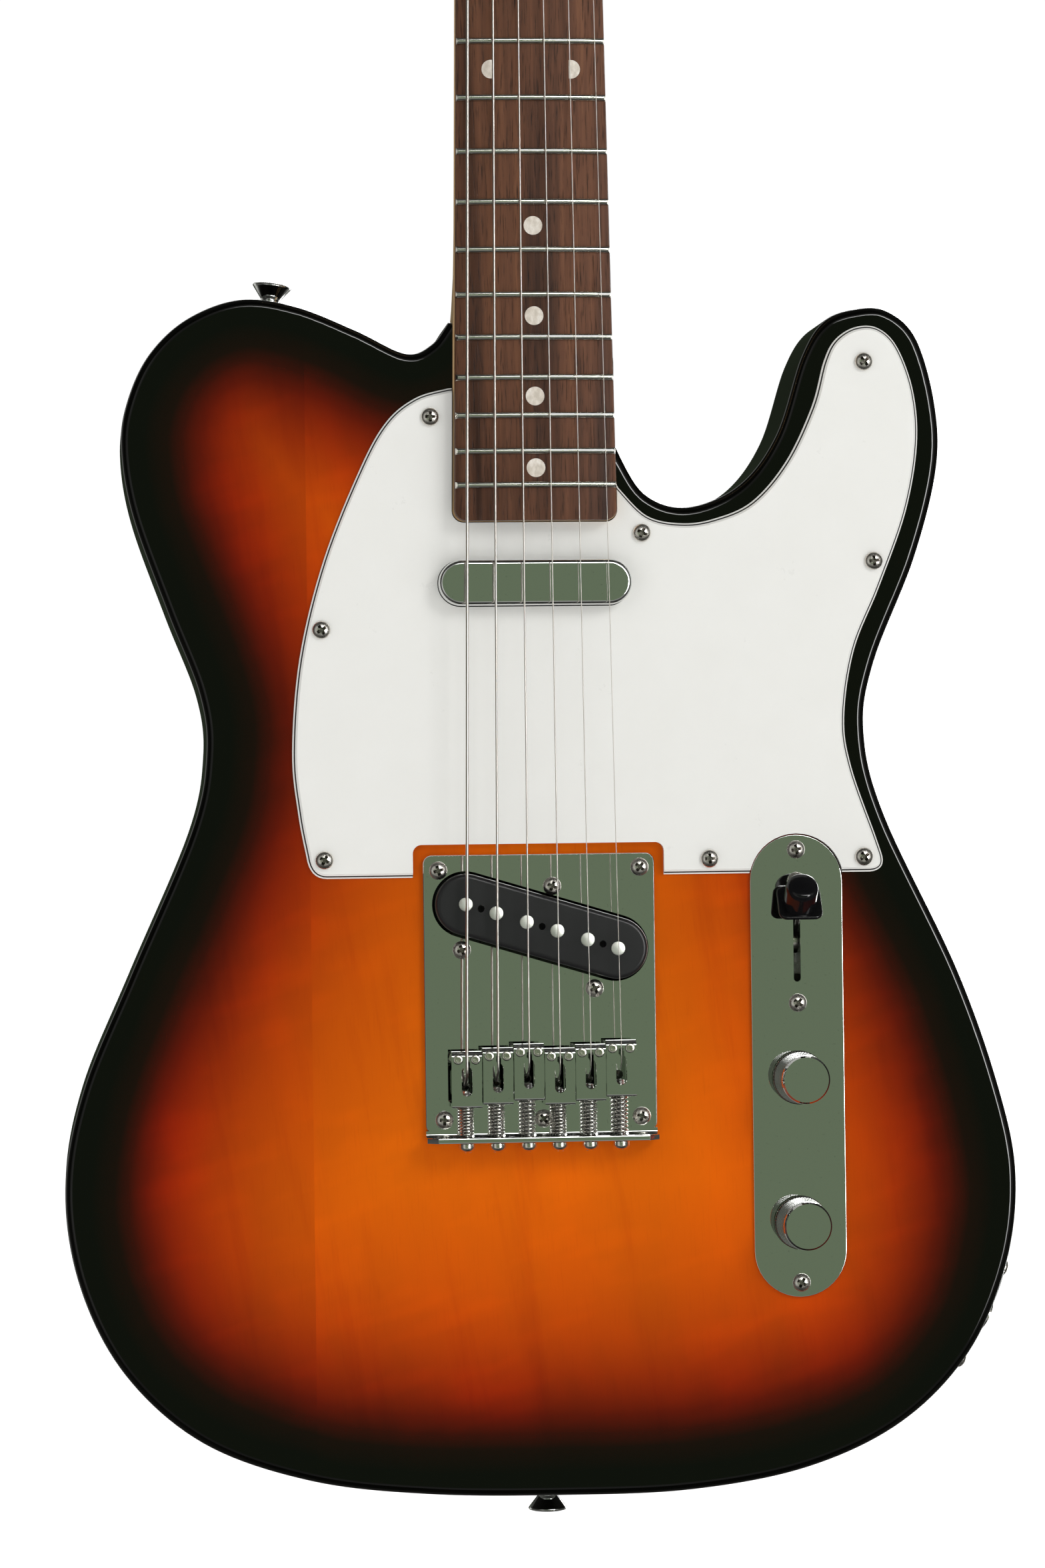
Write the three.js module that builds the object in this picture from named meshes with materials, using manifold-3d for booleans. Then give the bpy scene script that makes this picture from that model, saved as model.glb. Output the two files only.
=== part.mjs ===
// A six-string solid-body electric guitar with a bolt-on neck, in millimetres.
//
// The guitar stands upright: +Z runs up the neck, the strings face -Y, and the low E side is at -X.
// The origin is on the centre line where the nut meets the fretboard (z = 0),
// in the plane of the body's front face (y = 0).

import * as THREE from 'three';
import { mergeVertices } from 'three/addons/utils/BufferGeometryUtils.js';
import Module from 'manifold-3d';

const wasm = await Module();
wasm.setup();

// ---------------------------------------------------------------- driving dimensions

const SCALE_LENGTH = 648;
const FRET_COUNT = 21;
const STRING_COUNT = 6;
const STRING_RADII = [0.58, 0.46, 0.33, 0.22, 0.17, 0.13];

const BODY_THICKNESS = 45;
const BODY_EDGE_RADIUS = 3.2;
const BODY_MID_Y = BODY_THICKNESS / 2;

const NUT_HALF_WIDTH = 21;
const HEEL_HALF_WIDTH = 28;
const HEEL_END_Z = -467.3;
const HEEL_DEPTH = 16;
const POCKET_SIDE_GAP = 0.15;
const BOARD_TOP_Y = -9.5;
const BOARD_BOTTOM_Y = -4.5;
const BOARD_RADIUS = 241;

const HEADSTOCK_FACE_Y = -1.5;
const HEADSTOCK_BACK_Y = 12.5;

const GUARD_THICKNESS = 2.3;
const PLATE_THICKNESS = 2;
const CONTROL_PLATE_THICKNESS = 1.2;

const NUT_STRING_PITCH = 7;
const BRIDGE_STRING_PITCH = 10.5;
const NUT_STRING_Y = -11;
const SADDLE_TOP_Y = -13.2;
const SADDLE_FRONT_Z = [-646.7, -645.6, -644.4, -646.0, -644.9, -643.7];
const SADDLE_CREST_SETBACK = 2.2;

const BRIDGE_LEFT = -39.6;
const BRIDGE_RIGHT = 39.4;
const BRIDGE_FRONT_Z = -580.5;
const BRIDGE_REAR_Z = -678;
const INTONATION_SCREW_Y = -7.2;

const CONTROL_X = 88.3;
const CONTROL_TOP_Z = -575;
const CONTROL_BOTTOM_Z = -733;
const CONTROL_HALF_WIDTH = 15.9;
const SWITCH_Z = -611.3;
const SWITCH_PIVOT_Y = 8.4;
const SWITCH_REST_TILT = THREE.MathUtils.degToRad(38);
const SWITCH_TIP_REACH = 20.5;
const KNOB_Z = { volume: -658, tone: -707.5 };

const BRIDGE_PICKUP_CENTRE = { x: 0.2, z: -605 };
const BRIDGE_PICKUP_TILT = THREE.MathUtils.degToRad(-16.8);
const NECK_PICKUP_CENTRE = { x: -0.4, z: -488.3 };

const TUNER_FIRST_Z = 30;
const TUNER_PITCH_Z = 24.6;
const TUNER_POST_RADIUS = 3;
const TUNER_LINE_ANGLE = Math.atan(NUT_STRING_PITCH / TUNER_PITCH_Z);

const JACK_POINT = { x: 153.4, z: -741.5 };
const JACK_DROOP = THREE.MathUtils.degToRad(26);

const CUT_GAP = 0.3;

// ---------------------------------------------------------------- shapes and solids

function toSolid(geometry) {
  const bare = geometry.clone();
  bare.deleteAttribute('normal');
  bare.deleteAttribute('uv');
  const merged = mergeVertices(bare, 1e-4);
  const index = merged.index.array;
  const triangles = [];
  for (let i = 0; i < index.length; i += 3) {
    const [a, b, c] = [index[i], index[i + 1], index[i + 2]];
    if (a !== b && b !== c && c !== a) triangles.push(a, b, c);
  }
  const mesh = new wasm.Mesh({
    numProp: 3,
    vertProperties: merged.attributes.position.array,
    triVerts: new Uint32Array(triangles),
  });
  return new wasm.Manifold(mesh);
}

function toGeometry(solid) {
  const { vertProperties, triVerts } = solid.getMesh();
  const geometry = new THREE.BufferGeometry();
  geometry.setAttribute('position', new THREE.BufferAttribute(vertProperties, 3));
  geometry.setIndex(new THREE.BufferAttribute(triVerts, 1));
  geometry.computeVertexNormals();
  return geometry;
}

const join = (first, ...rest) => rest.reduce((solid, next) => solid.add(next), first);
const cut = (first, ...rest) => rest.reduce((solid, next) => solid.subtract(next), first);

// A box between two corners.
function block([x0, x1], [y0, y1], [z0, z1]) {
  const geometry = new THREE.BoxGeometry(x1 - x0, y1 - y0, z1 - z0);
  return toSolid(geometry.translate((x0 + x1) / 2, (y0 + y1) / 2, (z0 + z1) / 2));
}

// A front-view outline, drawn in X and Z, given thickness from yFront back to yBack.
function slab(shape, yFront, yBack, { bevel = 0, bevelSegments = 1, curveSegments = 5 } = {}) {
  const geometry = new THREE.ExtrudeGeometry(shape, {
    depth: yBack - yFront - 2 * bevel,
    bevelEnabled: bevel > 0,
    bevelThickness: bevel,
    bevelSize: bevel,
    bevelOffset: -bevel,
    bevelSegments,
    curveSegments,
  });
  geometry.rotateX(Math.PI / 2);
  return toSolid(geometry.translate(0, yBack - bevel, 0));
}

// A stadium outline, long in X unless upright, centred on (x, z).
function stadium(x, z, length, width, upright = false) {
  const run = (length - width) / 2;
  const r = width / 2;
  const shape = new THREE.Shape();
  if (upright) {
    shape.absarc(x, z + run, r, 0, Math.PI);
    shape.absarc(x, z - run, r, Math.PI, 2 * Math.PI);
  } else {
    shape.absarc(x + run, z, r, -Math.PI / 2, Math.PI / 2);
    shape.absarc(x - run, z, r, Math.PI / 2, 1.5 * Math.PI);
  }
  return shape;
}

function roundedRect(x0, x1, z0, z1, r) {
  const shape = new THREE.Shape();
  shape.absarc(x1 - r, z1 - r, r, 0, Math.PI / 2);
  shape.absarc(x0 + r, z1 - r, r, Math.PI / 2, Math.PI);
  shape.absarc(x0 + r, z0 + r, r, Math.PI, 1.5 * Math.PI);
  shape.absarc(x1 - r, z0 + r, r, 1.5 * Math.PI, 2 * Math.PI);
  return shape;
}

// A round pin along the front-to-back direction.
function pinY(x, z, radius, yFront, yBack, sides = 12) {
  const geometry = new THREE.CylinderGeometry(radius, radius, yBack - yFront, sides);
  return toSolid(geometry.translate(x, (yFront + yBack) / 2, z));
}

// A round pin along the neck's direction.
function pinZ(x, y, radius, z0, z1, sides = 8) {
  const geometry = new THREE.CylinderGeometry(radius, radius, z1 - z0, sides);
  geometry.rotateX(Math.PI / 2);
  return toSolid(geometry.translate(x, y, (z0 + z1) / 2));
}

// A round pin across the guitar.
function pinX(y, z, radius, x0, x1, sides = 10) {
  const geometry = new THREE.CylinderGeometry(radius, radius, x1 - x0, sides);
  geometry.rotateZ(Math.PI / 2);
  return toSolid(geometry.translate((x0 + x1) / 2, y, z));
}

// A turned piece: [radius, height] pairs from the axis back to the axis, along +Y of its own frame.
function turned(profile, sides = 16) {
  const points = profile.map(([radius, height]) => new THREE.Vector2(radius, height));
  return toSolid(new THREE.LatheGeometry(points, sides));
}

// A closed skin over convex rings of points, one ring after another.
function loft(rings) {
  const count = rings[0].length;
  const positions = rings.flat().flatMap((p) => [p.x, p.y, p.z]);
  const index = [];
  for (let ring = 0; ring + 1 < rings.length; ring += 1) {
    for (let i = 0; i < count; i += 1) {
      const a = ring * count + i;
      const b = ring * count + ((i + 1) % count);
      index.push(a, b, b + count, a, b + count, a + count);
    }
  }
  const last = (rings.length - 1) * count;
  for (let i = 1; i + 1 < count; i += 1) {
    index.push(0, i + 1, i);
    index.push(last, last + i, last + i + 1);
  }
  const geometry = new THREE.BufferGeometry();
  geometry.setAttribute('position', new THREE.Float32BufferAttribute(positions, 3));
  geometry.setIndex(index);
  const solid = toSolid(geometry);
  return solid.volume() < 0 ? loft([...rings].reverse()) : solid;
}

// A route through points that an extrusion follows point by point, however uneven their spacing.
class Route extends THREE.Curve {
  constructor(points) {
    super();
    this.points = points;
  }

  getPoint(t) {
    const place = t * (this.points.length - 1);
    const i = Math.min(Math.floor(place), this.points.length - 2);
    return this.points[i].clone().lerp(this.points[i + 1], place - i);
  }

  getPointAt(u) {
    return this.getPoint(u);
  }

  getTangentAt(u) {
    const step = 0.5 / (this.points.length - 1);
    const before = this.getPoint(Math.max(0, u - step));
    return this.getPoint(Math.min(1, u + step)).sub(before).normalize();
  }
}

function wire(points, radius, sides = 8) {
  const route = new Route(points);
  const corners = Array.from({ length: sides }, (_, i) => {
    const angle = (2 * Math.PI * i) / sides;
    return new THREE.Vector2(radius * Math.cos(angle), radius * Math.sin(angle));
  });
  const steps = points.length - 1;
  const section = new THREE.Shape(corners);
  return new THREE.ExtrudeGeometry(section, { steps, extrudePath: route, bevelEnabled: false });
}

// ---------------------------------------------------------------- scene graph

const guitar = new THREE.Group();

function finish(color, roughness, metalness) {
  return new THREE.MeshStandardMaterial({ color, roughness, metalness });
}

function place(name, shape, material, parent = guitar) {
  const geometry = shape.isBufferGeometry ? shape : toGeometry(shape);
  const mesh = new THREE.Mesh(geometry, material);
  mesh.name = name;
  parent.add(mesh);
  return mesh;
}

const chrome = () => finish(0xc9ccc8, 0.12, 1);
const nickel = () => finish(0xb9b4a6, 0.25, 1);
const blackPlastic = () => finish(0x111111, 0.35, 0);
const maple = () => finish(0xd9b382, 0.4, 0);
const steel = () => finish(0x9b9c9c, 0.35, 1);

// ---------------------------------------------------------------- layout of the strings

const along = (i, pitch) => (i - (STRING_COUNT - 1) / 2) * pitch;
const nutX = (i) => along(i, NUT_STRING_PITCH);
const bridgeX = (i) => along(i, BRIDGE_STRING_PITCH);
const fretZ = (n) => -SCALE_LENGTH * (1 - 2 ** (-n / 12));
const camber = (x) => (x * x) / (2 * BOARD_RADIUS);
const crestZ = (i) => SADDLE_FRONT_Z[i] - SADDLE_CREST_SETBACK;
const saddleTopY = (i) => SADDLE_TOP_Y + camber(bridgeX(i));
const anchorZ = (i) => crestZ(i) - 10;
const tunerZ = (i) => TUNER_FIRST_Z + i * TUNER_PITCH_Z;
const tunerX = (i) => nutX(i) - TUNER_POST_RADIUS - 0.9;

function neckHalfWidth(z) {
  const slope = (HEEL_HALF_WIDTH - NUT_HALF_WIDTH) / HEEL_END_Z;
  return NUT_HALF_WIDTH + slope * Math.min(0, z);
}

// ---------------------------------------------------------------- body

// The rim, from the left of the neck pocket round the lower bout to the cutaway.
const LEFT_SHOULDER = [[-28.3, -399], [-34, -406.5], [-43, -409.5], [-60, -401.5], [-80, -393.5], [-99, -391],
  [-117, -397.5], [-130, -409.5], [-137.5, -425], [-140, -441]];
const LEFT_WAIST = [[-136.5, -464], [-125, -497], [-114.5, -525], [-112.5, -546], [-118, -572], [-139, -620]];
const LOWER_BOUT = [[-155.5, -659], [-161.7, -692], [-157, -725], [-142, -755], [-116, -778.5], [-80, -792],
  [-40, -797.5], [5, -799], [50, -798.2], [90.3, -791.5], [122.9, -776.9], [146.5, -753.7], [160.2, -723.4],
  [164, -693], [158.5, -663]];
const RIGHT_WAIST = [[144.5, -622], [120, -569], [113.2, -540], [117, -516], [131.5, -480.5]];
const HORN = [[139.6, -450], [139.4, -427.6], [133.2, -405], [123, -395.4], [112, -394.8], [101, -399],
  [93, -411.5]];
const CUTAWAY = [[84, -438], [71, -455], [53, -462.5], [38, -457.5], [28.3, -441]];

function bodyShape() {
  const rim = [...LEFT_SHOULDER, ...LEFT_WAIST, ...LOWER_BOUT, ...RIGHT_WAIST, ...HORN, ...CUTAWAY];
  const [start, ...rest] = rim.map(([x, z]) => new THREE.Vector2(x, z));
  const shape = new THREE.Shape();
  shape.moveTo(start.x, start.y);
  shape.splineThru(rest);
  shape.lineTo(HEEL_HALF_WIDTH + 0.3, -416);
  shape.absarc(HEEL_HALF_WIDTH - 13.7, -413, 14, 0, Math.PI / 2);
  shape.lineTo(start.x + 3, start.y);
  return shape;
}

// The jack's own frame: its local +Y points out of the lower right edge of the body.
function jackFrame() {
  const frame = new THREE.Group();
  frame.position.set(JACK_POINT.x, BODY_MID_Y, JACK_POINT.z);
  frame.rotation.set(0, JACK_DROOP, -Math.PI / 2);
  frame.updateMatrix();
  return frame;
}

function inJackFrame(solid) {
  return solid.transform(jackFrame().matrix.elements);
}

function pickupRout(shape, depth) {
  return slab(shape, -1, depth);
}

function bridgePickupShape(length, width) {
  const flat = stadium(0, 0, length, width).getPoints(6);
  const { x, z } = BRIDGE_PICKUP_CENTRE;
  const turn = new THREE.Vector2(0, 0);
  return new THREE.Shape(flat.map((p) => p.clone().rotateAround(turn, BRIDGE_PICKUP_TILT).add({ x, y: z })));
}

function makeBody() {
  const rounded = { bevel: BODY_EDGE_RADIUS, bevelSegments: 2, curveSegments: 3 };
  const wood = slab(bodyShape(), 0, BODY_THICKNESS, rounded);
  const side = HEEL_HALF_WIDTH + POCKET_SIDE_GAP;
  const pocket = block([-side, side], [-1, HEEL_DEPTH], [HEEL_END_Z - 0.1, -380]);
  const neckRout = pickupRout(stadium(NECK_PICKUP_CENTRE.x, NECK_PICKUP_CENTRE.z, 70, 19), 20);
  const bridgeRout = pickupRout(bridgePickupShape(79, 26), 22);
  const controlRout = slab(
    stadium(CONTROL_X, (CONTROL_TOP_Z + CONTROL_BOTTOM_Z) / 2, 141, 27, true), -1, 39);
  const jackBore = inJackFrame(turned([[0, -75], [11, -75], [11, 20], [0, 20]]));
  const stringBores = Array.from({ length: STRING_COUNT }, (_, i) =>
    pinY(bridgeX(i), anchorZ(i), 2, -1, BODY_THICKNESS + 1, 6));
  place('body', cut(wood, pocket, neckRout, bridgeRout, controlRout, jackBore, ...stringBores),
    finish(0x8a2f08, 0.15, 0));
}

// ---------------------------------------------------------------- neck, fretboard and nut

// One cross-section of the neck: flat under the fretboard, rounded behind. A high power is squarer.
function neckRing(z, halfWidth, backY, power) {
  const steps = 14;
  const ring = [];
  for (let i = 0; i <= steps; i += 1) {
    const angle = (Math.PI * i) / steps;
    const x = halfWidth * Math.sign(Math.cos(angle)) * Math.abs(Math.cos(angle)) ** (2 / power);
    const y = BOARD_BOTTOM_Y + (backY - BOARD_BOTTOM_Y) * Math.sin(angle) ** (2 / power);
    ring.push(new THREE.Vector3(x, y, z));
  }
  return ring;
}

// The shaft is a D, thickening towards the body, and turns into a square heel.
const NECK_STATIONS = [
  { z: 6, back: 12.5, power: 3 },
  { z: -10, back: 11.6, power: 2.6 },
  { z: -40, back: 11.2, power: 2.3 },
  { z: -160, back: 12.2, power: 2.3 },
  { z: -300, back: 13.4, power: 2.3 },
  { z: -368, back: 14.2, power: 2.5 },
  { z: -384, back: 15, power: 3.4 },
  { z: -395, back: HEEL_DEPTH - 0.2, power: 8 },
  { z: -402, back: HEEL_DEPTH, power: 40 },
  { z: HEEL_END_Z, back: HEEL_DEPTH, power: 40 },
];

// The headstock: six tuners in line along a sloping left edge, with a plain rounded tip.
function headstockShape() {
  const shape = new THREE.Shape();
  shape.moveTo(NUT_HALF_WIDTH, 0);
  shape.splineThru([[22.5, 8], [27.5, 24], [31, 55], [32, 95], [34, 125], [38, 150], [35, 170], [23, 181]]
    .map(([x, z]) => new THREE.Vector2(x, z)));
  shape.quadraticCurveTo(8, 183, 2, 171);
  shape.lineTo(-35.5, 26);
  shape.quadraticCurveTo(-37.5, 15, -29, 12);
  shape.quadraticCurveTo(-22.5, 9, -NUT_HALF_WIDTH, 0);
  return shape;
}

// The raised root between the nut and the headstock face, with a hollow curve down to the face.
function headstockRoot() {
  const rise = BOARD_BOTTOM_Y;
  const profile = new THREE.Shape();
  profile.moveTo(0, 5);
  profile.lineTo(0, rise);
  profile.lineTo(5, rise);
  profile.quadraticCurveTo(7, HEADSTOCK_FACE_Y, 16, HEADSTOCK_FACE_Y + 0.2);
  profile.lineTo(16, 5);
  const settings = { depth: 2 * NUT_HALF_WIDTH, bevelEnabled: false, curveSegments: 6 };
  const geometry = new THREE.ExtrudeGeometry(profile, settings);
  // The profile is drawn as (z, y), so it is turned to run across the neck.
  geometry.applyMatrix4(new THREE.Matrix4().makeBasis(
    new THREE.Vector3(0, 0, 1), new THREE.Vector3(0, 1, 0), new THREE.Vector3(-1, 0, 0)));
  return toSolid(geometry.translate(NUT_HALF_WIDTH, 0, 0));
}

function makeNeck() {
  const rings = NECK_STATIONS.map(({ z, back, power }) => neckRing(z, neckHalfWidth(z), back, power));
  const shaft = loft(rings);
  const head = slab(headstockShape(), HEADSTOCK_FACE_Y, HEADSTOCK_BACK_Y, { bevel: 1.2, curveSegments: 3 });
  const postHoles = Array.from({ length: STRING_COUNT }, (_, i) =>
    pinY(tunerX(i), tunerZ(i), 5, HEADSTOCK_FACE_Y - 1, HEADSTOCK_BACK_Y + 1));
  place('neck', cut(join(shaft, head, headstockRoot()), ...postHoles), maple());
}

function boardRing(z, halfWidth) {
  const steps = 4;
  const ring = [new THREE.Vector3(-halfWidth, BOARD_BOTTOM_Y, z)];
  for (let i = 0; i <= steps; i += 1) {
    const x = halfWidth * ((2 * i) / steps - 1);
    ring.push(new THREE.Vector3(x, BOARD_TOP_Y + camber(x), z));
  }
  ring.push(new THREE.Vector3(halfWidth, BOARD_BOTTOM_Y, z));
  return ring;
}

function makeFretboard() {
  const cornerRadius = 4;
  const wide = neckHalfWidth(HEEL_END_Z);
  const rings = [boardRing(0, NUT_HALF_WIDTH), boardRing(HEEL_END_Z + cornerRadius, wide)];
  for (const turn of [30, 60, 90]) {
    const angle = THREE.MathUtils.degToRad(turn);
    const inset = cornerRadius * (1 - Math.cos(angle));
    rings.push(boardRing(HEEL_END_Z + cornerRadius * (1 - Math.sin(angle)), wide - inset));
  }
  const FRET_HEIGHT = 1.1;
  const FRET_WIDTH = 2.4;
  let board = loft(rings);
  for (let n = 1; n <= FRET_COUNT; n += 1) {
    const half = neckHalfWidth(fretZ(n)) - 0.4;
    const ring = (z) => boardRing(z, half).map((p) =>
      new THREE.Vector3(p.x, p.y < BOARD_BOTTOM_Y - 1 ? p.y - FRET_HEIGHT : BOARD_TOP_Y + 3, p.z));
    const wire = loft([ring(fretZ(n) + FRET_WIDTH / 2), ring(fretZ(n) - FRET_WIDTH / 2)]);
    board = join(board, wire);
  }
  place('fretboard', board, finish(0x4a2e22, 0.55, 0));
}

function makeNut() {
  const width = [-NUT_HALF_WIDTH + 0.2, NUT_HALF_WIDTH - 0.2];
  const blank = block(width, [NUT_STRING_Y - 0.4, BOARD_BOTTOM_Y], [0, 3.4]);
  const slots = STRING_RADII.map((radius, i) => {
    const half = radius + 0.2;
    return block([nutX(i) - half, nutX(i) + half], [NUT_STRING_Y - 1, NUT_STRING_Y + radius + 0.2], [-1, 5]);
  });
  place('nut', cut(blank, ...slots), finish(0xe8e2d0, 0.4, 0));
}

// ---------------------------------------------------------------- pickguard and neck pickup

const GUARD_LEFT = [[-40, -425], [-50, -433], [-59, -448.5], [-72, -480], [-80.5, -513], [-83.4, -545],
  [-81.6, -566],
  [-79, -580.5]];
const GUARD_RIGHT = [[116, -575.5], [108, -552], [105.8, -535], [109.5, -512], [118.5, -490.5], [128, -465],
  [132.3, -442], [131.3, -423.7], [126, -408.4], [119.3, -401.7], [111.5, -401.3], [104.5, -405.5], [100.4, -413],
  [96, -428.5], [86.8, -447.3], [74.8, -461], [61.5, -466.8], [50, -468.2], [38.5, -465.5], [29, -456]];

function guardShape() {
  const toVector = ([x, z]) => new THREE.Vector2(x, z);
  const bottom = -588;
  const shape = new THREE.Shape();
  shape.moveTo(20, -440);
  shape.lineTo(-20, -421);
  shape.lineTo(-29, -421.8);
  shape.splineThru(GUARD_LEFT.map(toVector));
  shape.quadraticCurveTo(-78, bottom, -72, bottom);
  shape.lineTo(114, bottom);
  shape.quadraticCurveTo(120, bottom + 0.5, 118, -581.5);
  shape.splineThru(GUARD_RIGHT.map(toVector));
  return shape;
}

function makePickguard() {
  const thick = slab(guardShape(), -GUARD_THICKNESS, 2, { bevel: 1.2, curveSegments: 2 });
  const behind = block([-200, 200], [0, 10], [-700, -300]);
  const side = HEEL_HALF_WIDTH + CUT_GAP;
  const neckEnd = block([-side, side], [-5, 1], [HEEL_END_Z - CUT_GAP, -400]);
  const pickupHole = slab(stadium(NECK_PICKUP_CENTRE.x, NECK_PICKUP_CENTRE.z, 66.2, 15.9), -5, 1);
  const besideBridge = roundedRect(BRIDGE_LEFT - 3.4, BRIDGE_RIGHT + 3.4, -600, BRIDGE_FRONT_Z + 3.6, 3);
  const bridgeNotch = slab(besideBridge, -5, 1);
  const plateNotch = slab(stadium(CONTROL_X, (CONTROL_TOP_Z + CONTROL_BOTTOM_Z) / 2,
    CONTROL_TOP_Z - CONTROL_BOTTOM_Z + 0.8, 2 * CONTROL_HALF_WIDTH + 0.8, true), -5, 1);
  const guard = cut(thick, behind, neckEnd, pickupHole, bridgeNotch, plateNotch);
  place('pickguard', guard, finish(0xe9e8e3, 0.35, 0));
}

function makeNeckPickup() {
  const cover = slab(stadium(NECK_PICKUP_CENTRE.x, NECK_PICKUP_CENTRE.z, 65.4, 14.9), -8.6, 12,
    { bevel: 1.2, bevelSegments: 2, curveSegments: 5 });
  place('neck_pickup', cover, chrome());
}

// ---------------------------------------------------------------- bridge

function makeBridgePlate() {
  const outline = roundedRect(BRIDGE_LEFT, BRIDGE_RIGHT, BRIDGE_REAR_Z, BRIDGE_FRONT_Z, 3);
  const floor = slab(outline, -PLATE_THICKNESS, 0);
  const wallZ = [BRIDGE_REAR_Z, BRIDGE_REAR_Z + PLATE_THICKNESS];
  const wall = block([BRIDGE_LEFT + 1, BRIDGE_RIGHT - 1], [-11, -0.5], wallZ);
  const pickupHole = slab(bridgePickupShape(76, 22.6), -5, 1);
  const holes = [];
  for (let i = 0; i < STRING_COUNT; i += 1) {
    holes.push(pinY(bridgeX(i), anchorZ(i), 1.6, -5, 1, 6));
    holes.push(pinZ(bridgeX(i), INTONATION_SCREW_Y, 1.7, BRIDGE_REAR_Z - 1, BRIDGE_REAR_Z + 4));
  }
  place('bridge_plate', cut(join(floor, wall), pickupHole, ...holes), chrome());
}

// A flat-topped bobbin: a top plate, a narrower coil, and a base plate.
function makeBridgePickup() {
  const top = slab(bridgePickupShape(74.5, 20.8), -8, -6);
  const coil = slab(bridgePickupShape(70, 16), -7, 8);
  const base = slab(bridgePickupShape(74.5, 20.8), 8, 10.5);
  place('bridge_pickup', join(top, coil, base), blackPlastic());
}

// A bent steel saddle: a level top with a long string slot, a rear leg for the intonation screw,
// and two height screws that stand on the bridge plate.
function makeSaddle(i) {
  const x = bridgeX(i);
  const front = SADDLE_FRONT_Z[i];
  const rear = front - 19.2;
  const topY = saddleTopY(i);
  const halfWidth = 5.1;
  const profile = new THREE.Shape();
  profile.moveTo(front, topY + 3);
  profile.quadraticCurveTo(front, topY, crestZ(i), topY);
  profile.lineTo(rear + 2, topY + 0.4);
  profile.quadraticCurveTo(rear, topY + 0.4, rear, topY + 2.4);
  profile.lineTo(rear, -3.4);
  profile.lineTo(rear + 1.6, -3.4);
  profile.lineTo(rear + 1.6, topY + 2);
  profile.lineTo(front - 1.6, topY + 1.6);
  profile.lineTo(front - 1.6, topY + 3);
  const settings = { depth: 2 * halfWidth, bevelEnabled: false, curveSegments: 3 };
  const geometry = new THREE.ExtrudeGeometry(profile, settings);
  geometry.applyMatrix4(new THREE.Matrix4().makeBasis(
    new THREE.Vector3(0, 0, 1), new THREE.Vector3(0, 1, 0), new THREE.Vector3(-1, 0, 0)));
  const strip = toSolid(geometry.translate(x + halfWidth, 0, 0));
  const slot = slab(stadium(x, crestZ(i) - 6.6, 11.6, 2.4, true), topY - 1, topY + 3, { curveSegments: 2 });
  const screwHole = pinZ(x, INTONATION_SCREW_Y, 1.7, rear - 1, rear + 4);
  const legs = [-3.4, 3.4].map((side) =>
    pinY(x + side, front - 5, 1.4, topY - 0.3, -PLATE_THICKNESS - 0.05, 6));
  place(`saddle_${i + 1}`, cut(join(strip, ...legs), slot, screwHole), steel());
}

// A pan-head screw that runs from behind the rear wall into the saddle's leg.
function makeIntonationScrew(i) {
  const headFront = BRIDGE_REAR_Z - 0.2;
  const tip = anchorZ(i) + 0.6;
  const thread = pinZ(0, 0, 1.5, headFront - 1, tip - 2);
  const head = pinZ(0, 0, 2.8, headFront - 3.2, headFront, 10);
  const screw = place(`intonation_screw_${i + 1}`, join(thread, head), nickel());
  screw.position.set(bridgeX(i), INTONATION_SCREW_Y, 0);
}

// ---------------------------------------------------------------- controls

function makeControlPlate() {
  const middle = (CONTROL_TOP_Z + CONTROL_BOTTOM_Z) / 2;
  const outline = stadium(CONTROL_X, middle, CONTROL_TOP_Z - CONTROL_BOTTOM_Z, 2 * CONTROL_HALF_WIDTH, true);
  const plate = slab(outline, -CONTROL_PLATE_THICKNESS, 0, { curveSegments: 8 });
  const slot = slab(stadium(CONTROL_X, SWITCH_Z, 28, 2.4, true), -3, 1, { curveSegments: 3 });
  const holes = Object.values(KNOB_Z).map((z) => pinY(CONTROL_X, z, 4.9, -3, 1));
  place('control_plate', cut(plate, slot, ...holes), chrome());
}

// An open frame under the plate, with two cheeks that hold the lever's pivot pin.
function makeSelectorSwitch() {
  const centre = CONTROL_X;
  const flange = block([centre - 6, centre + 6], [0.05, 1.3], [SWITCH_Z - 24, SWITCH_Z + 24]);
  const gap = block([centre - 2, centre + 2], [-1, 3], [SWITCH_Z - 15, SWITCH_Z + 15]);
  const cheeks = [-1, 1].map((side) => {
    const inner = centre + side * 4;
    const outer = centre + side * 6;
    return block([Math.min(inner, outer), Math.max(inner, outer)], [1, 28], [SWITCH_Z - 12, SWITCH_Z + 12]);
  });
  const floor = block([centre - 6, centre + 6], [27.5, 30], [SWITCH_Z - 16, SWITCH_Z + 16]);
  const pin = pinX(SWITCH_PIVOT_Y, SWITCH_Z, 1.5, centre - 5, centre + 5);
  place('selector_switch', join(cut(flange, gap), ...cheeks, floor, pin), steel());
}

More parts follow.
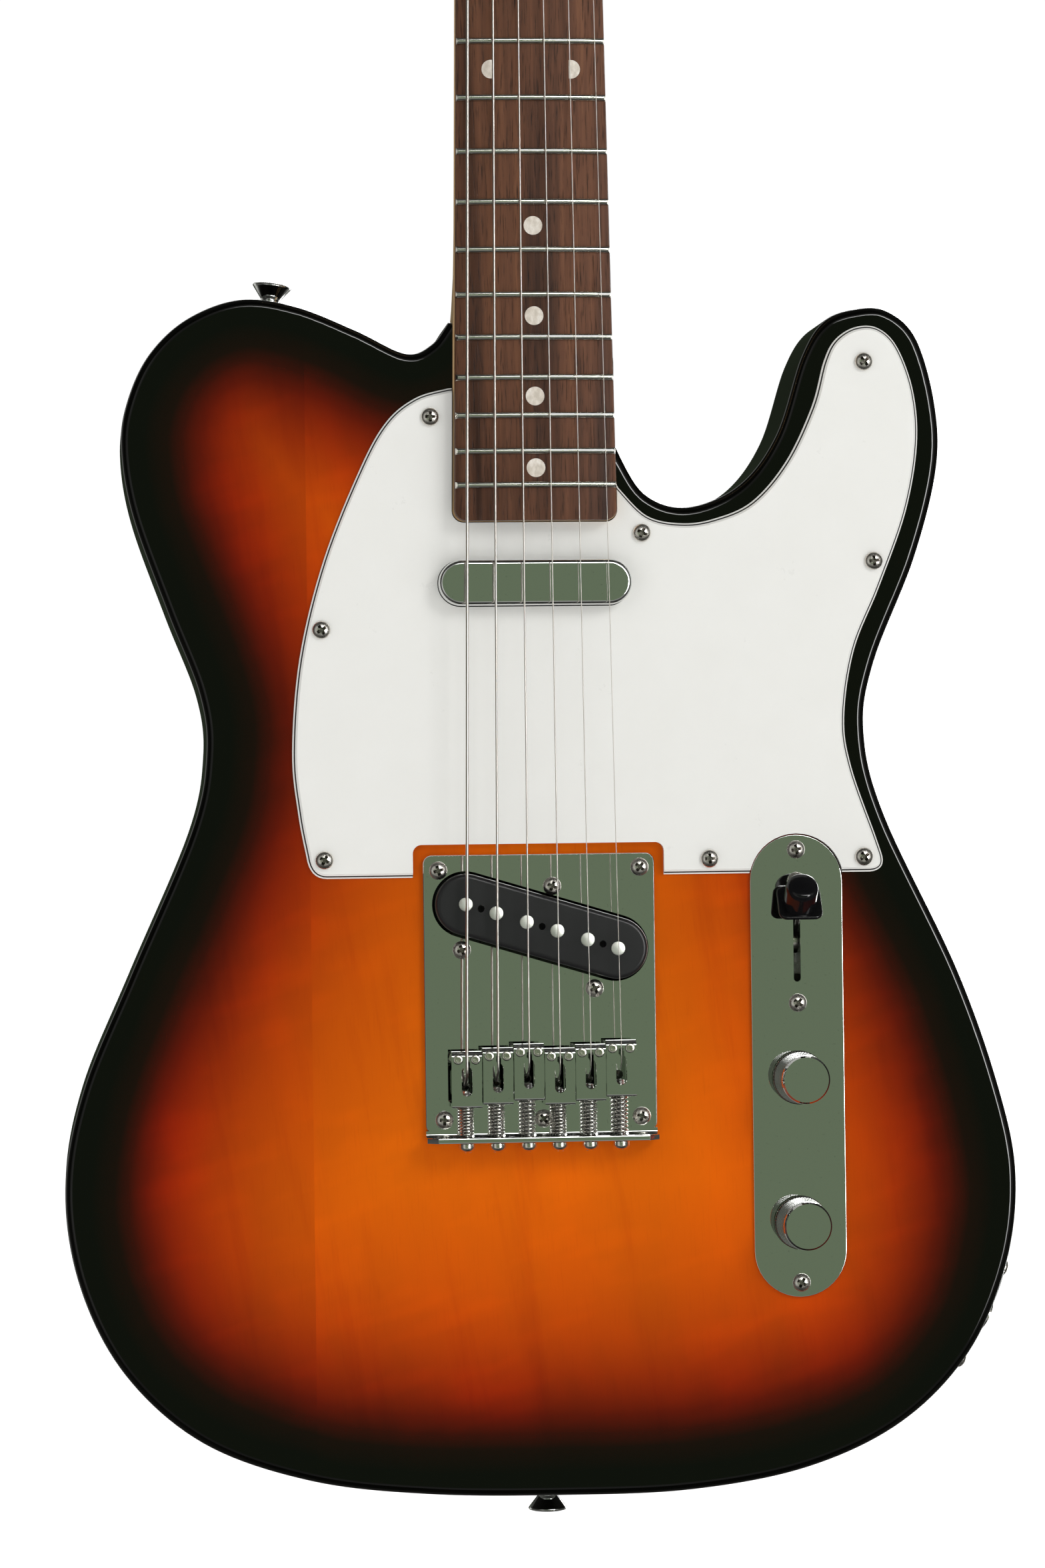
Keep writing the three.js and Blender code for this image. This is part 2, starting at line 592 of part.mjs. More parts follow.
// The lever and its tip are drawn straight out along -Y from the pivot, then leaned towards the neck.
function makeSwitchLever() {
  const frame = new THREE.Group();
  frame.position.set(CONTROL_X, SWITCH_PIVOT_Y, SWITCH_Z);
  frame.rotation.x = -SWITCH_REST_TILT;
  guitar.add(frame);
  const hub = pinX(0, 0, 4.4, -1.4, 1.4, 12);
  const blade = block([-0.7, 0.7], [-SWITCH_TIP_REACH - 7.5, 0], [-2, 2]);
  const bore = pinX(0, 0, 1.7, -3, 3);
  place('switch_lever', cut(join(hub, blade), bore), nickel(), frame);
  const hat = [[0, 0], [6.9, 0], [7.1, 0.6], [6.9, 1.3], [5.9, 1.9], [5.6, 3], [5.5, 9], [4.9, 10.4], [0, 11]];
  const onLever = new THREE.Matrix4().makeRotationX(Math.PI).setPosition(0, -SWITCH_TIP_REACH, 0);
  const crown = turned(hat, 14).transform(onLever.elements);
  const socket = block([-1, 1], [-SWITCH_TIP_REACH - 7.9, 1 - SWITCH_TIP_REACH], [-2.3, 2.3]);
  place('switch_tip', cut(crown, socket), blackPlastic(), frame);
}

function makeControl(name) {
  const z = KNOB_Z[name];
  const can = pinY(CONTROL_X, z, 12, 1.6, 11, 16);
  const bushing = pinY(CONTROL_X, z, 4.6, -3.6, 2);
  const bore = pinY(CONTROL_X, z, 3.3, -5, 9);
  place(`${name}_pot`, cut(join(can, bushing), bore), steel());
  place(`${name}_shaft`, pinY(CONTROL_X, z, 3, -12, 8), steel());
  const knob = turned([[0, 0], [9, 0], [9, 0.8], [8.6, 1.2], [8.3, 16.2], [7.7, 17], [0, 17]], 24);
  const outward = new THREE.Matrix4().makeRotationX(Math.PI).setPosition(CONTROL_X, -2, z);
  const recess = pinY(CONTROL_X, z, 6.6, -4.4, 0);
  const socket = pinY(CONTROL_X, z, 3.15, -12.2, 0);
  place(`${name}_knob`, cut(knob.transform(outward.elements), recess, socket), chrome());
}

// ---------------------------------------------------------------- output jack

// A thin oval plate that follows the rim, held against it round the jack.
function makeJackPlate() {
  const thickness = 2;
  const reach = 30;
  const rim = bodyShape().getPoints(3);
  const near = rim.filter((p) => Math.hypot(p.x - JACK_POINT.x, p.y - JACK_POINT.z) < reach && p.x > 90);
  const outer = near.map((p, i) => {
    const before = near[Math.max(0, i - 1)];
    const after = near[Math.min(near.length - 1, i + 1)];
    const run = after.clone().sub(before).normalize();
    return p.clone().add(new THREE.Vector2(run.y, -run.x).multiplyScalar(thickness));
  });
  const strip = slab(new THREE.Shape([...near, ...outer.reverse()]), 5, 40);
  const oval = new THREE.Shape();
  oval.absellipse(0, 0, 19.5, 13, 0, 2 * Math.PI);
  const prism = new THREE.ExtrudeGeometry(oval, { depth: 40, bevelEnabled: false, curveSegments: 10 });
  prism.rotateX(Math.PI / 2).rotateY(Math.PI / 2).translate(0, 20, 0);
  const hole = turned([[0, -10], [5, -10], [5, 10], [0, 10]]);
  place('jack_plate', cut(strip.intersect(inJackFrame(toSolid(prism))), inJackFrame(hole)), chrome());
}

function makeOutputJack() {
  const frame = jackFrame();
  guitar.add(frame);
  const shell = [[3.35, 4.4], [6.2, 4.4], [6.4, 4], [6.4, 2.6], [4.6, 2.6], [4.6, -3.4], [8.5, -3.4], [8.5, -6],
    [4.8, -6], [4.8, -22], [3.35, -22], [3.35, 4.4]];
  place('output_jack', turned(shell.reverse()), nickel(), frame);
}

// ---------------------------------------------------------------- fittings on the rim and the back

function makeNeckPlate() {
  const outline = roundedRect(-25.4, 25.4, -464, -400.5, 3);
  const plate = slab(outline, BODY_THICKNESS, BODY_THICKNESS + 2, { curveSegments: 4 });
  place('neck_plate', plate, chrome());
}

function makeStrapButton(name, x, z, lean) {
  const frame = new THREE.Group();
  frame.position.set(x, BODY_MID_Y, z);
  frame.rotation.y = lean;
  guitar.add(frame);
  const profile = [[0, 0], [5.4, 0], [5.4, 0.6], [3.3, 2.2], [3.3, 4], [6.6, 6.2], [6.6, 6.8],
    [5.6, 7.4], [0, 7.4]];
  const button = place(name, turned(profile), chrome(), frame);
  button.rotation.x = Math.PI / 2;
}

// ---------------------------------------------------------------- tuners

function tunerFrame(i) {
  const frame = new THREE.Group();
  frame.position.set(tunerX(i), 0, tunerZ(i));
  frame.rotation.y = TUNER_LINE_ANGLE;
  guitar.add(frame);
  return frame;
}

// A cast housing behind the headstock with a sleeve through it, a post across, and a worm shaft
// with its button.
function makeTuner(i) {
  const frame = tunerFrame(i);
  const back = HEADSTOCK_BACK_Y;
  const wormY = back + 5.4;
  const wormZ = -5.4;
  const casing = slab(roundedRect(-9, 7, -11, 7.5, 3), back, back + 10.5, { bevel: 1, curveSegments: 2 });
  const snout = pinX(wormY, wormZ, 3.6, -12.5, -8, 8);
  const sleeve = pinY(0, 0, 4.7, HEADSTOCK_FACE_Y - 1.6, back + 2, 10);
  const postBore = pinY(0, 0, TUNER_POST_RADIUS + 0.3, -9, back + 8.4, 10);
  const wormBore = pinX(wormY, wormZ, 2.3, -14, 4, 8);
  place(`tuner_housing_${i + 1}`, cut(join(casing, snout, sleeve), postBore, wormBore), chrome(), frame);

  const shank = pinY(0, 0, TUNER_POST_RADIUS, -13, back + 8, 10);
  const eye = pinX(-9.6, 0, 0.8, -5, 5, 6);
  place(`tuner_post_${i + 1}`, cut(shank, eye), chrome(), frame);

  const shaft = pinX(wormY, wormZ, 2, -18.4, 3.4, 8);
  const oval = stadium(-24.3, wormZ, 21, 13.6, true);
  const grip = slab(oval, wormY - 4.2, wormY + 4.2, { bevel: 2, curveSegments: 4 });
  place(`tuner_button_${i + 1}`, join(shaft, grip), chrome(), frame);
}

function makeStringTree() {
  const x = (nutX(4) + nutX(5)) / 2;
  const post = pinY(x, 62, 2, -6.6, HEADSTOCK_FACE_Y);
  const bar = block([x - 6, x + 6], [-8.2, -6.6], [60.2, 63.8]);
  place('string_tree', join(post, bar), chrome());
}

// ---------------------------------------------------------------- strings

// Each string rises from its anchor in the body, over the saddle, along the neck and through the nut
// to its post.
function makeString(i) {
  const radius = STRING_RADII[i];
  const bx = bridgeX(i);
  const nx = nutX(i);
  const crestY = saddleTopY(i) - radius - 0.05;
  const flatEnd = crestZ(i) - 4;
  const heldDown = i >= STRING_COUNT - 2;
  const route = [
    [bx, BODY_THICKNESS - 4, anchorZ(i)],
    [bx, 0, anchorZ(i)],
    [bx, -4, anchorZ(i) + 0.6],
    [bx, crestY + 1.4, flatEnd - 1.3],
    [bx, crestY + 0.3, flatEnd - 0.5],
    [bx, crestY, flatEnd],
    [bx, crestY, crestZ(i) + 0.5],
    [nx, NUT_STRING_Y, 0],
    [nx, NUT_STRING_Y, 3.4],
  ];
  if (heldDown) route.push([nx, -6.4 + radius, 60], [nx, -6.4 + radius, 64]);
  route.push([nx, -6.4, tunerZ(i) - 3], [nx, -6.4, tunerZ(i) + 1]);
  const points = route.map(([x, y, z]) => new THREE.Vector3(x, y, z));
  place(`string_${i + 1}`, wire(points, radius), i < 3 ? nickel() : steel());
}

// ---------------------------------------------------------------- assembly

makeBody();
makeNeck();
makeFretboard();
makeNut();
makePickguard();
makeNeckPickup();
makeBridgePlate();
makeBridgePickup();
makeControlPlate();
makeSelectorSwitch();
makeSwitchLever();
Object.keys(KNOB_Z).forEach(makeControl);
makeJackPlate();
makeOutputJack();
makeNeckPlate();
makeStrapButton('strap_button_upper', -88.3, -391, THREE.MathUtils.degToRad(8));
makeStrapButton('strap_button_lower', 2.5, -799.2, Math.PI);
makeStringTree();
for (let i = 0; i < STRING_COUNT; i += 1) {
  makeSaddle(i);
  makeIntonationScrew(i);
  makeTuner(i);
  makeString(i);
}

export default guitar;
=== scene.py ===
"""The looks of a six-string electric guitar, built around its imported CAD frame.

Lengths are written in millimetres and turned into metres when a mesh is made.
The guitar stands upright: +Z runs up the neck, the strings face -Y, and the low E side is at -X.
"""
import math

import bmesh
import bpy
import numpy as np
from mathutils import Matrix, Vector
from mathutils.geometry import delaunay_2d_cdt


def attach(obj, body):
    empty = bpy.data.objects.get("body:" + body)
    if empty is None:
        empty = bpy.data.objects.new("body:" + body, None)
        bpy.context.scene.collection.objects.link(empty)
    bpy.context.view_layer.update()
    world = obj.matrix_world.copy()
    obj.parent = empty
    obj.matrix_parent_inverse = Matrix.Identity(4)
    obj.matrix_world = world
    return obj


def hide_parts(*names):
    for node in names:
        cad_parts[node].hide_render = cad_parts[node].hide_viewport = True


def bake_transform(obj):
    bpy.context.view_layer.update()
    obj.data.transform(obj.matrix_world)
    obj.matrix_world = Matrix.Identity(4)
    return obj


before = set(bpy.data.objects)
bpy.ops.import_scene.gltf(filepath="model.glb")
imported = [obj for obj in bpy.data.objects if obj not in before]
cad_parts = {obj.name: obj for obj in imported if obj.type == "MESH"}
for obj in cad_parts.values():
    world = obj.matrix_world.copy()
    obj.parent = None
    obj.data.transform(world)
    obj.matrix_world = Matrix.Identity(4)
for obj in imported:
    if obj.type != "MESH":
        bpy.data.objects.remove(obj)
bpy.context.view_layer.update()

MM = 0.001
FRONT, REAR, UP = (0, -1, 0), (0, 1, 0), (0, 0, 1)

# ---------------------------------------------------------------- driving dimensions, millimetres

SCALE_LENGTH = 648
FRET_COUNT = 21
STRING_COUNT = 6
STRING_RADII = (0.58, 0.46, 0.33, 0.22, 0.17, 0.13)
WOUND_STRINGS = 3

BODY_THICKNESS = 45
BODY_EDGE_RADIUS = 3.2
BODY_MID_Y = BODY_THICKNESS / 2

# The routs under the neck pickup, the bridge pickup and the controls: length, width and depth.
NECK_ROUT = (70, 19, 20)
BRIDGE_ROUT = (79, 26, 22)
CONTROL_ROUT = (141, 27, 39)

NUT_HALF_WIDTH = 21
HEEL_HALF_WIDTH = 28
HEEL_END_Z = -467.3
HEEL_DEPTH = 16
HEEL_CORNER = 4
TONGUE_RADIUS = 14
TONGUE_Z = -413
BOARD_TOP_Y = -9.5
BOARD_BOTTOM_Y = -4.5
BOARD_RADIUS = 241
MAPLE_EDGE = 0.3
HEADSTOCK_FACE_Y = -1.5
HEADSTOCK_BACK_Y = 12.5

GUARD_THICKNESS = 2.3
NUT_STRING_PITCH = 7
BRIDGE_STRING_PITCH = 10.5
NUT_STRING_Y = -11
SADDLE_TOP_Y = -13.2
SADDLE_FRONT_Z = (-646.7, -645.6, -644.4, -646.0, -644.9, -643.7)
SADDLE_CREST_SETBACK = 2.2
SADDLE_LENGTH = 19.2
SADDLE_HALF_WIDTH = 5.1
SADDLE_SCREW_SPREAD = 2.95
ANCHOR_SETBACK = 10
INTONATION_SCREW_Y = -7.2

BRIDGE_LEFT, BRIDGE_RIGHT = -39.6, 39.4
BRIDGE_FRONT_Z, BRIDGE_REAR_Z = -580.5, -678
BRIDGE_THICKNESS = 2
BRIDGE_PICKUP_CENTRE = (0.2, -605)
BRIDGE_PICKUP_TILT = math.radians(-16.8)
NECK_PICKUP_CENTRE = (-0.4, -488.3)
NECK_COVER_SIZE = (65.9, 15.5)

CONTROL_X = 88.3
CONTROL_TOP_Z, CONTROL_BOTTOM_Z = -575, -733
CONTROL_HALF_WIDTH = 15.9
CONTROL_THICKNESS = 1.2
CONTROL_SCREW_Z = (-580.1, -728)
SWITCH_Z = -611.3
SWITCH_PIVOT_Y = 8.4
SWITCH_REST_TILT = math.radians(38)
SWITCH_TIP_REACH = 20.5
SWITCH_SCREW_Z = (-590.9, -632.5)
KNOB_Z = {"volume": -658, "tone": -707.5}

TUNER_FIRST_Z = 30
TUNER_PITCH_Z = 24.6
TUNER_LINE_ANGLE = math.atan(NUT_STRING_PITCH / TUNER_PITCH_Z)
POST_STRING_REACH = 3.9
POST_STRING_Y = -6.4
POST_EYE_Y = -9.6
TREE_Z = 62

JACK_POINT = (153.4, -741.5)
JACK_DROOP = math.radians(26)
JACK_PLATE_THICKNESS = 1.6
JACK_PLATE_HALF_LENGTH, JACK_PLATE_HALF_WIDTH = 19.5, 13
JACK_HOLE_RADIUS = 5
JACK_SCREW_REACH = 17.3

NECK_PLATE_HALF_WIDTH = 25.4
NECK_PLATE_Z = (-464, -400.5)
NECK_PLATE_THICKNESS = 2
NECK_BOLT_X = (-18.5, 18.5)
NECK_BOLT_INSET = 6.5

# Each strap button's foot, as x and z, and how far it leans over from straight up.
STRAP_BUTTONS = {
    "strap_button_upper": (-88.3, -391, math.radians(8)),
    "strap_button_lower": (2.5, -799.2, math.pi),
}

FLOOR_Z = -860
FLOOR_REACH = 9000

# The body's rim, from the left of the neck pocket round the lower bout to the cutaway, as (x, z).
LEFT_SHOULDER = [(-28.3, -399), (-34, -406.5), (-43, -409.5), (-60, -401.5), (-80, -393.5), (-99, -391),
                 (-117, -397.5), (-130, -409.5), (-137.5, -425), (-140, -441)]
LEFT_WAIST = [(-136.5, -464), (-125, -497), (-114.5, -525), (-112.5, -546), (-118, -572), (-139, -620)]
LOWER_BOUT = [(-155.5, -659), (-161.7, -692), (-157, -725), (-142, -755), (-116, -778.5), (-80, -792),
              (-40, -797.5), (5, -799), (50, -798.2), (90.3, -791.5), (122.9, -776.9), (146.5, -753.7),
              (160.2, -723.4), (164, -693), (158.5, -663)]
RIGHT_WAIST = [(144.5, -622), (120, -569), (113.2, -540), (117, -516), (131.5, -480.5)]
HORN = [(139.6, -450), (139.4, -427.6), (133.2, -405), (123, -395.4), (112, -394.8), (101, -399),
        (93, -411.5)]
CUTAWAY = [(84, -438), (71, -455), (53, -462.5), (38, -457.5), (28.3, -441)]

# The pickguard's free edges, left of the neck and right of it, as (x, z).
GUARD_LEFT = [(-29, -421.8), (-40, -425), (-50, -433), (-59, -448.5), (-72, -480), (-80.5, -513),
              (-83.4, -545), (-81.6, -566), (-79, -580.5)]
GUARD_RIGHT = [(118, -581.5), (116, -575.5), (108, -552), (105.8, -535), (109.5, -512), (118.5, -490.5),
               (128, -465), (132.3, -442), (131.3, -423.7), (126, -408.4), (119.3, -401.7), (111.5, -401.3),
               (104.5, -405.5), (100.4, -413), (96, -428.5), (86.8, -447.3), (74.8, -461), (61.5, -466.8),
               (50, -468.2), (38.5, -465.5), (29, -456)]

# ---------------------------------------------------------------- layout


def along(i, pitch):
    return (i - (STRING_COUNT - 1) / 2) * pitch


def nut_x(i):
    return along(i, NUT_STRING_PITCH)


def bridge_x(i):
    return along(i, BRIDGE_STRING_PITCH)


def fret_z(n):
    return -SCALE_LENGTH * (1 - 2 ** (-n / 12))


def camber(x):
    return x * x / (2 * BOARD_RADIUS)


def crest_z(i):
    return SADDLE_FRONT_Z[i] - SADDLE_CREST_SETBACK


def saddle_top_y(i):
    return SADDLE_TOP_Y + camber(bridge_x(i))


def anchor_z(i):
    return crest_z(i) - ANCHOR_SETBACK


def tuner_place(i):
    return nut_x(i) - POST_STRING_REACH, TUNER_FIRST_Z + i * TUNER_PITCH_Z


def neck_half_width(z):
    slope = (HEEL_HALF_WIDTH - NUT_HALF_WIDTH) / HEEL_END_Z
    return NUT_HALF_WIDTH + slope * min(0, z)


# ---------------------------------------------------------------- outlines, as arrays of (x, z)


def spline(points, steps):
    """A Catmull-Rom curve through the points, with the given steps between each two."""
    p = np.array(points, float)
    ends = np.vstack([p[0], p, p[-1]])
    t = np.arange(steps)[:, None] / steps
    spans = []
    for i in range(len(p) - 1):
        a, b, c, d = ends[i:i + 4]
        v0, v1 = (c - a) / 2, (d - b) / 2
        cubic, square = 2 * b - 2 * c + v0 + v1, -3 * b + 3 * c - 2 * v0 - v1
        spans.append(cubic * t ** 3 + square * t ** 2 + v0 * t + b)
    return np.vstack(spans + [p[-1:]])


def arc(x, z, radius, start, end, steps=10):
    """Points on a round arc, with its angles in degrees."""
    angles = np.radians(np.linspace(start, end, steps + 1))
    return np.column_stack([x + radius * np.cos(angles), z + radius * np.sin(angles)])


def quadratic(a, b, c, steps=8):
    t = np.linspace(0, 1, steps + 1)[:, None]
    a, b, c = (np.array(p, float) for p in (a, b, c))
    return (1 - t) ** 2 * a + 2 * t * (1 - t) * b + t * t * c


def stadium(x, z, length, width, upright=False, steps=20):
    run, r = (length - width) / 2, width / 2
    if upright:
        return np.vstack([arc(x, z + run, r, 0, 180, steps), arc(x, z - run, r, 180, 360, steps)])
    return np.vstack([arc(x + run, z, r, -90, 90, steps), arc(x - run, z, r, 90, 270, steps)])


def rounded_rect(x0, x1, z0, z1, r, steps=8):
    corners = ((x1 - r, z1 - r, 0), (x0 + r, z1 - r, 90), (x0 + r, z0 + r, 180), (x1 - r, z0 + r, 270))
    return np.vstack([arc(x, z, r, start, start + 90, steps) for x, z, start in corners])


def circle(x, z, radius, steps=24):
    return arc(x, z, radius, 0, 360, steps)[:-1]


def flipped(points):
    """Points (z, y) as (y, z)."""
    return [(y, z) for z, y in points]


def turned_by(outline, angle, x, z):
    """The outline turned about (0, 0) and moved to (x, z)."""
    c, s = math.cos(angle), math.sin(angle)
    return outline @ np.array([[c, s], [-s, c]]) + (x, z)


def sparse_start(curve, count):
    """The curve without the few points after its first, which would cross when a corner there is rounded."""
    return np.vstack([curve[:1], curve[count:]])


def body_outline(steps=10):
    rim = spline(LEFT_SHOULDER + LEFT_WAIST + LOWER_BOUT + RIGHT_WAIST + HORN + CUTAWAY, steps)
    tongue_x = HEEL_HALF_WIDTH + 0.3 - TONGUE_RADIUS
    return np.vstack([sparse_start(rim, 6), arc(tongue_x, TONGUE_Z, TONGUE_RADIUS, 0, 90)])


def without_repeats(outline):
    """The closed outline, with points that lie on the one before them left out."""
    gap = np.linalg.norm(outline - np.roll(outline, 1, axis=0), axis=1)
    return outline[gap > 1e-3]


def outward_normals(outline):
    """Mitred normals that point out of a closed outline, so that moving along them keeps its corners."""
    edges = np.roll(outline, -1, axis=0) - outline
    edges /= np.linalg.norm(edges, axis=1)[:, None]
    x, z = outline.T
    area = np.sum(x * np.roll(z, -1) - z * np.roll(x, -1))
    after = np.column_stack([edges[:, 1], -edges[:, 0]]) * np.sign(area)
    before = np.roll(after, 1, axis=0)
    return (after + before) / (1 + (after * before).sum(1))[:, None]


def inside(points, loops):
    """Which (x, z) points are inside the first loop and outside the others."""
    odd = np.zeros(len(points), bool)
    for loop in loops:
        a, b = loop, np.roll(loop, -1, axis=0)
        rise = b[:, 1] - a[:, 1]
        rise = np.where(rise == 0, 1e-12, rise)
        for start in range(0, len(points), 4000):
            x, z = (points[start:start + 4000, k, None] for k in (0, 1))
            crossing = (a[:, 1] > z) != (b[:, 1] > z)
            right = x < a[:, 0] + (z - a[:, 1]) * (b[:, 0] - a[:, 0]) / rise
            odd[start:start + 4000] ^= (crossing & right).sum(1) % 2 == 1
    return odd


def distance_to_outline(points, outline):
    """How far each (x, z) point is from the closed outline."""
    a, b = outline, np.roll(outline, -1, axis=0)
    ab = b - a
    length2 = np.maximum((ab ** 2).sum(1), 1e-12)
    best = np.empty(len(points))
    for start in range(0, len(points), 4000):
        p = points[start:start + 4000, None, :]
        t = np.clip(((p - a) * ab).sum(2) / length2, 0, 1)
        best[start:start + 4000] = np.linalg.norm(p - (a + t[..., None] * ab), axis=2).min(1)
    return best


# ---------------------------------------------------------------- mesh code


def new_mesh(name, vertices, faces):
    """A mesh from millimetre vertices."""
    mesh = bpy.data.meshes.new(name)
    mesh.from_pydata([tuple(v) for v in np.asarray(vertices, float) * MM], [], [tuple(f) for f in faces])
    mesh.validate()
    return mesh


def piece(name, mesh, material, slot, body="guitar", replaces=(), place=None, bevel=0, sharp=35):
    """A smooth-shaded piece that rides on a CAD body, with its edges left sharp or given a small bevel."""
    obj = bpy.data.objects.new(name, mesh)
    bpy.context.scene.collection.objects.link(obj)
    mesh.polygons.foreach_set("use_smooth", [True] * len(mesh.polygons))
    mesh.set_sharp_from_angle(angle=math.radians(sharp))
    mesh.materials.clear()
    mesh.materials.append(material)
    if bevel:
        edges = obj.modifiers.new("small bevel", "BEVEL")
        edges.width = bevel * MM
        edges.segments = 2
        edges.limit_method = "ANGLE"
        edges.angle_limit = math.radians(sharp)
    flats = obj.modifiers.new("flat faces stay flat", "WEIGHTED_NORMAL")
    flats.keep_sharp = True
    if place:
        obj.matrix_world = place
    if body:
        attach(obj, body)
    if replaces:
        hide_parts(*replaces)
    return obj


def temporary(mesh):
    """An object for a mesh while it is cut or joined."""
    obj = bpy.data.objects.new("temporary", mesh)
    bpy.context.scene.collection.objects.link(obj)
    return obj


def combine(mesh, others, operation):
    """A new mesh, joined with or cut by the others."""
    obj = temporary(mesh)
    helpers = [temporary(other) for other in others]
    for helper in helpers:
        modifier = obj.modifiers.new("boolean", "BOOLEAN")
        modifier.operation = operation
        modifier.solver = "MANIFOLD"
        modifier.object = helper
    bpy.context.view_layer.update()
    evaluated = obj.evaluated_get(bpy.context.evaluated_depsgraph_get())
    result = bpy.data.meshes.new_from_object(evaluated)
    for helper in [obj] + helpers:
        bpy.data.objects.remove(helper)
    return result


def cut(mesh, *others):
    return combine(mesh, others, "DIFFERENCE")


def fill(loops, spacing=0):
    """Triangles over the first loop less the others, with inner points at a spacing if it isn't 0."""
    points = list(loops)
    if spacing:
        low, high = loops[0].min(0), loops[0].max(0)
        rows = np.arange(low[1], high[1], spacing * 0.866)
        columns = np.arange(low[0], high[0], spacing)
        grid = np.array([(x + spacing / 2 * (k % 2), z) for k, z in enumerate(rows) for x in columns])
        grid = grid[inside(grid, loops)]
        for loop in loops:
            grid = grid[distance_to_outline(grid, loop) > 0.6 * spacing]
        points.append(grid)
    edges, start = [], 0
    for loop in loops:
        count = len(loop)
        edges += [(start + k, start + (k + 1) % count) for k in range(count)]
        start += count
    flat = [Vector(p) for p in np.vstack(points)]
    found, _, triangles, *_ = delaunay_2d_cdt(flat, edges, [], 0, 1e-5)
    found, triangles = np.array(found), np.array(triangles)
    return found, triangles[inside(found[triangles].mean(1), loops)]


def plate(outline, edge, holes=(), pockets=(), spacing=0):
    """A flat piece whose rim runs through (inset, y) pairs from front to back.

    Holes are outlines that go right through. Pockets are (outline, y of its floor) pairs, cut from the front.
    """
    outline = without_repeats(outline)
    holes = [without_repeats(hole) for hole in holes]
    pockets = [(without_repeats(pocket), floor) for pocket, floor in pockets]
    normal = outward_normals(outline)
    rings = [outline - inset * normal for inset, _ in edge]
    front, back = edge[0][1], edge[-1][1]
    vertices, faces = [], []

    def add(points, y, triangles=()):
        start = len(vertices)
        vertices.extend((x, y, z) for x, z in points)
        faces.extend([start + k for k in face] for face in triangles)
        return list(range(start, start + len(points)))

    def wall(loops_and_heights):
        faces.extend(skin([add(loop, y) for loop, y in loops_and_heights]))

    for y, loop, inner in ((front, rings[0], holes + [p for p, _ in pockets]), (back, rings[-1], holes)):
        found, triangles = fill([loop] + inner, spacing)
        add(found, y, triangles)
    wall([(ring, y) for ring, (_, y) in zip(rings, edge)])
    for hole in holes:
        wall([(hole, front), (hole, back)])
    for pocket, floor in pockets:
        wall([(pocket, front), (pocket, floor)])
        found, triangles = fill([pocket])
        add(found, floor, triangles)
    return weld(new_mesh("plate", vertices, faces))


def rounded_edge(front, back, radius, steps=4):
    """The (inset, y) pairs of a rim that is rounded at the front and at the back."""
    turns = np.linspace(0, math.pi / 2, steps + 1)
    bend = [(radius * (1 - math.sin(a)), radius * (1 - math.cos(a))) for a in turns]
    return [(inset, front + y) for inset, y in bend] + [(inset, back - y) for inset, y in reversed(bend)]


def bar(profile, x0, x1):
    """A (y, z) outline given length across the guitar."""
    return loft([[(x, y, z) for y, z in profile] for x in (x0, x1)])


def weld(mesh, distance=0.002):
    """The mesh with touching points joined and every face turned outwards."""
    work = bmesh.new()
    work.from_mesh(mesh)
    bmesh.ops.remove_doubles(work, verts=work.verts, dist=distance * MM)
    bmesh.ops.dissolve_degenerate(work, edges=work.edges, dist=1e-7)
    bmesh.ops.recalc_face_normals(work, faces=work.faces)
    work.to_mesh(mesh)
    work.free()
    return mesh


def box(x, y, z):
    """A box between two x, two y and two z values."""
    corners = [(a, b, c) for a in x for b in y for c in z]
    faces = [(0, 1, 3, 2), (4, 6, 7, 5), (0, 4, 5, 1), (2, 3, 7, 6), (0, 2, 6, 4), (1, 5, 7, 3)]
    return new_mesh("box", corners, faces)


def axis_matrix(centre, axis):
    """The matrix that takes the local +Z axis at the origin to the axis at the centre, in millimetres."""
    turn = Vector(UP).rotation_difference(Vector(axis).normalized())
    return Matrix.Translation(Vector(centre) * MM) @ turn.to_matrix().to_4x4()


def turned(profile, centre=(0, 0, 0), axis=UP, sides=32):
    """A turned piece: (radius, height) pairs along the axis. A radius of 0 closes an end."""
    vertices, rings = [], []
    for radius, height in profile:
        if radius == 0:
            rings.append([len(vertices)] * sides)
            vertices.append((0, 0, height))
            continue
        rings.append(list(range(len(vertices), len(vertices) + sides)))
        for k in range(sides):
            angle = 2 * math.pi * k / sides
            vertices.append((radius * math.cos(angle), radius * math.sin(angle), height))
    faces = skin(rings)
    mesh = new_mesh("turned", vertices, faces)
    mesh.transform(axis_matrix(centre, axis))
    return weld(mesh)


def rod(radius, start, end, centre=(0, 0, 0), axis=UP, sides=32):
    """A plain round bar between two heights along the axis."""
    return turned([(0, start), (radius, start), (radius, end), (0, end)], centre, axis, sides)


def skin(rings, closed=False):
    """Faces between rings of vertex numbers. Repeated numbers in a face are dropped."""
    faces = []
    pairs = list(zip(rings, rings[1:] + rings[:1])) if closed else list(zip(rings, rings[1:]))
    for a, b in pairs:
        for k in range(len(a)):
            j = (k + 1) % len(a)
            face = list(dict.fromkeys((a[k], a[j], b[j], b[k])))
            if len(face) > 2:
                faces.append(face)
    return faces


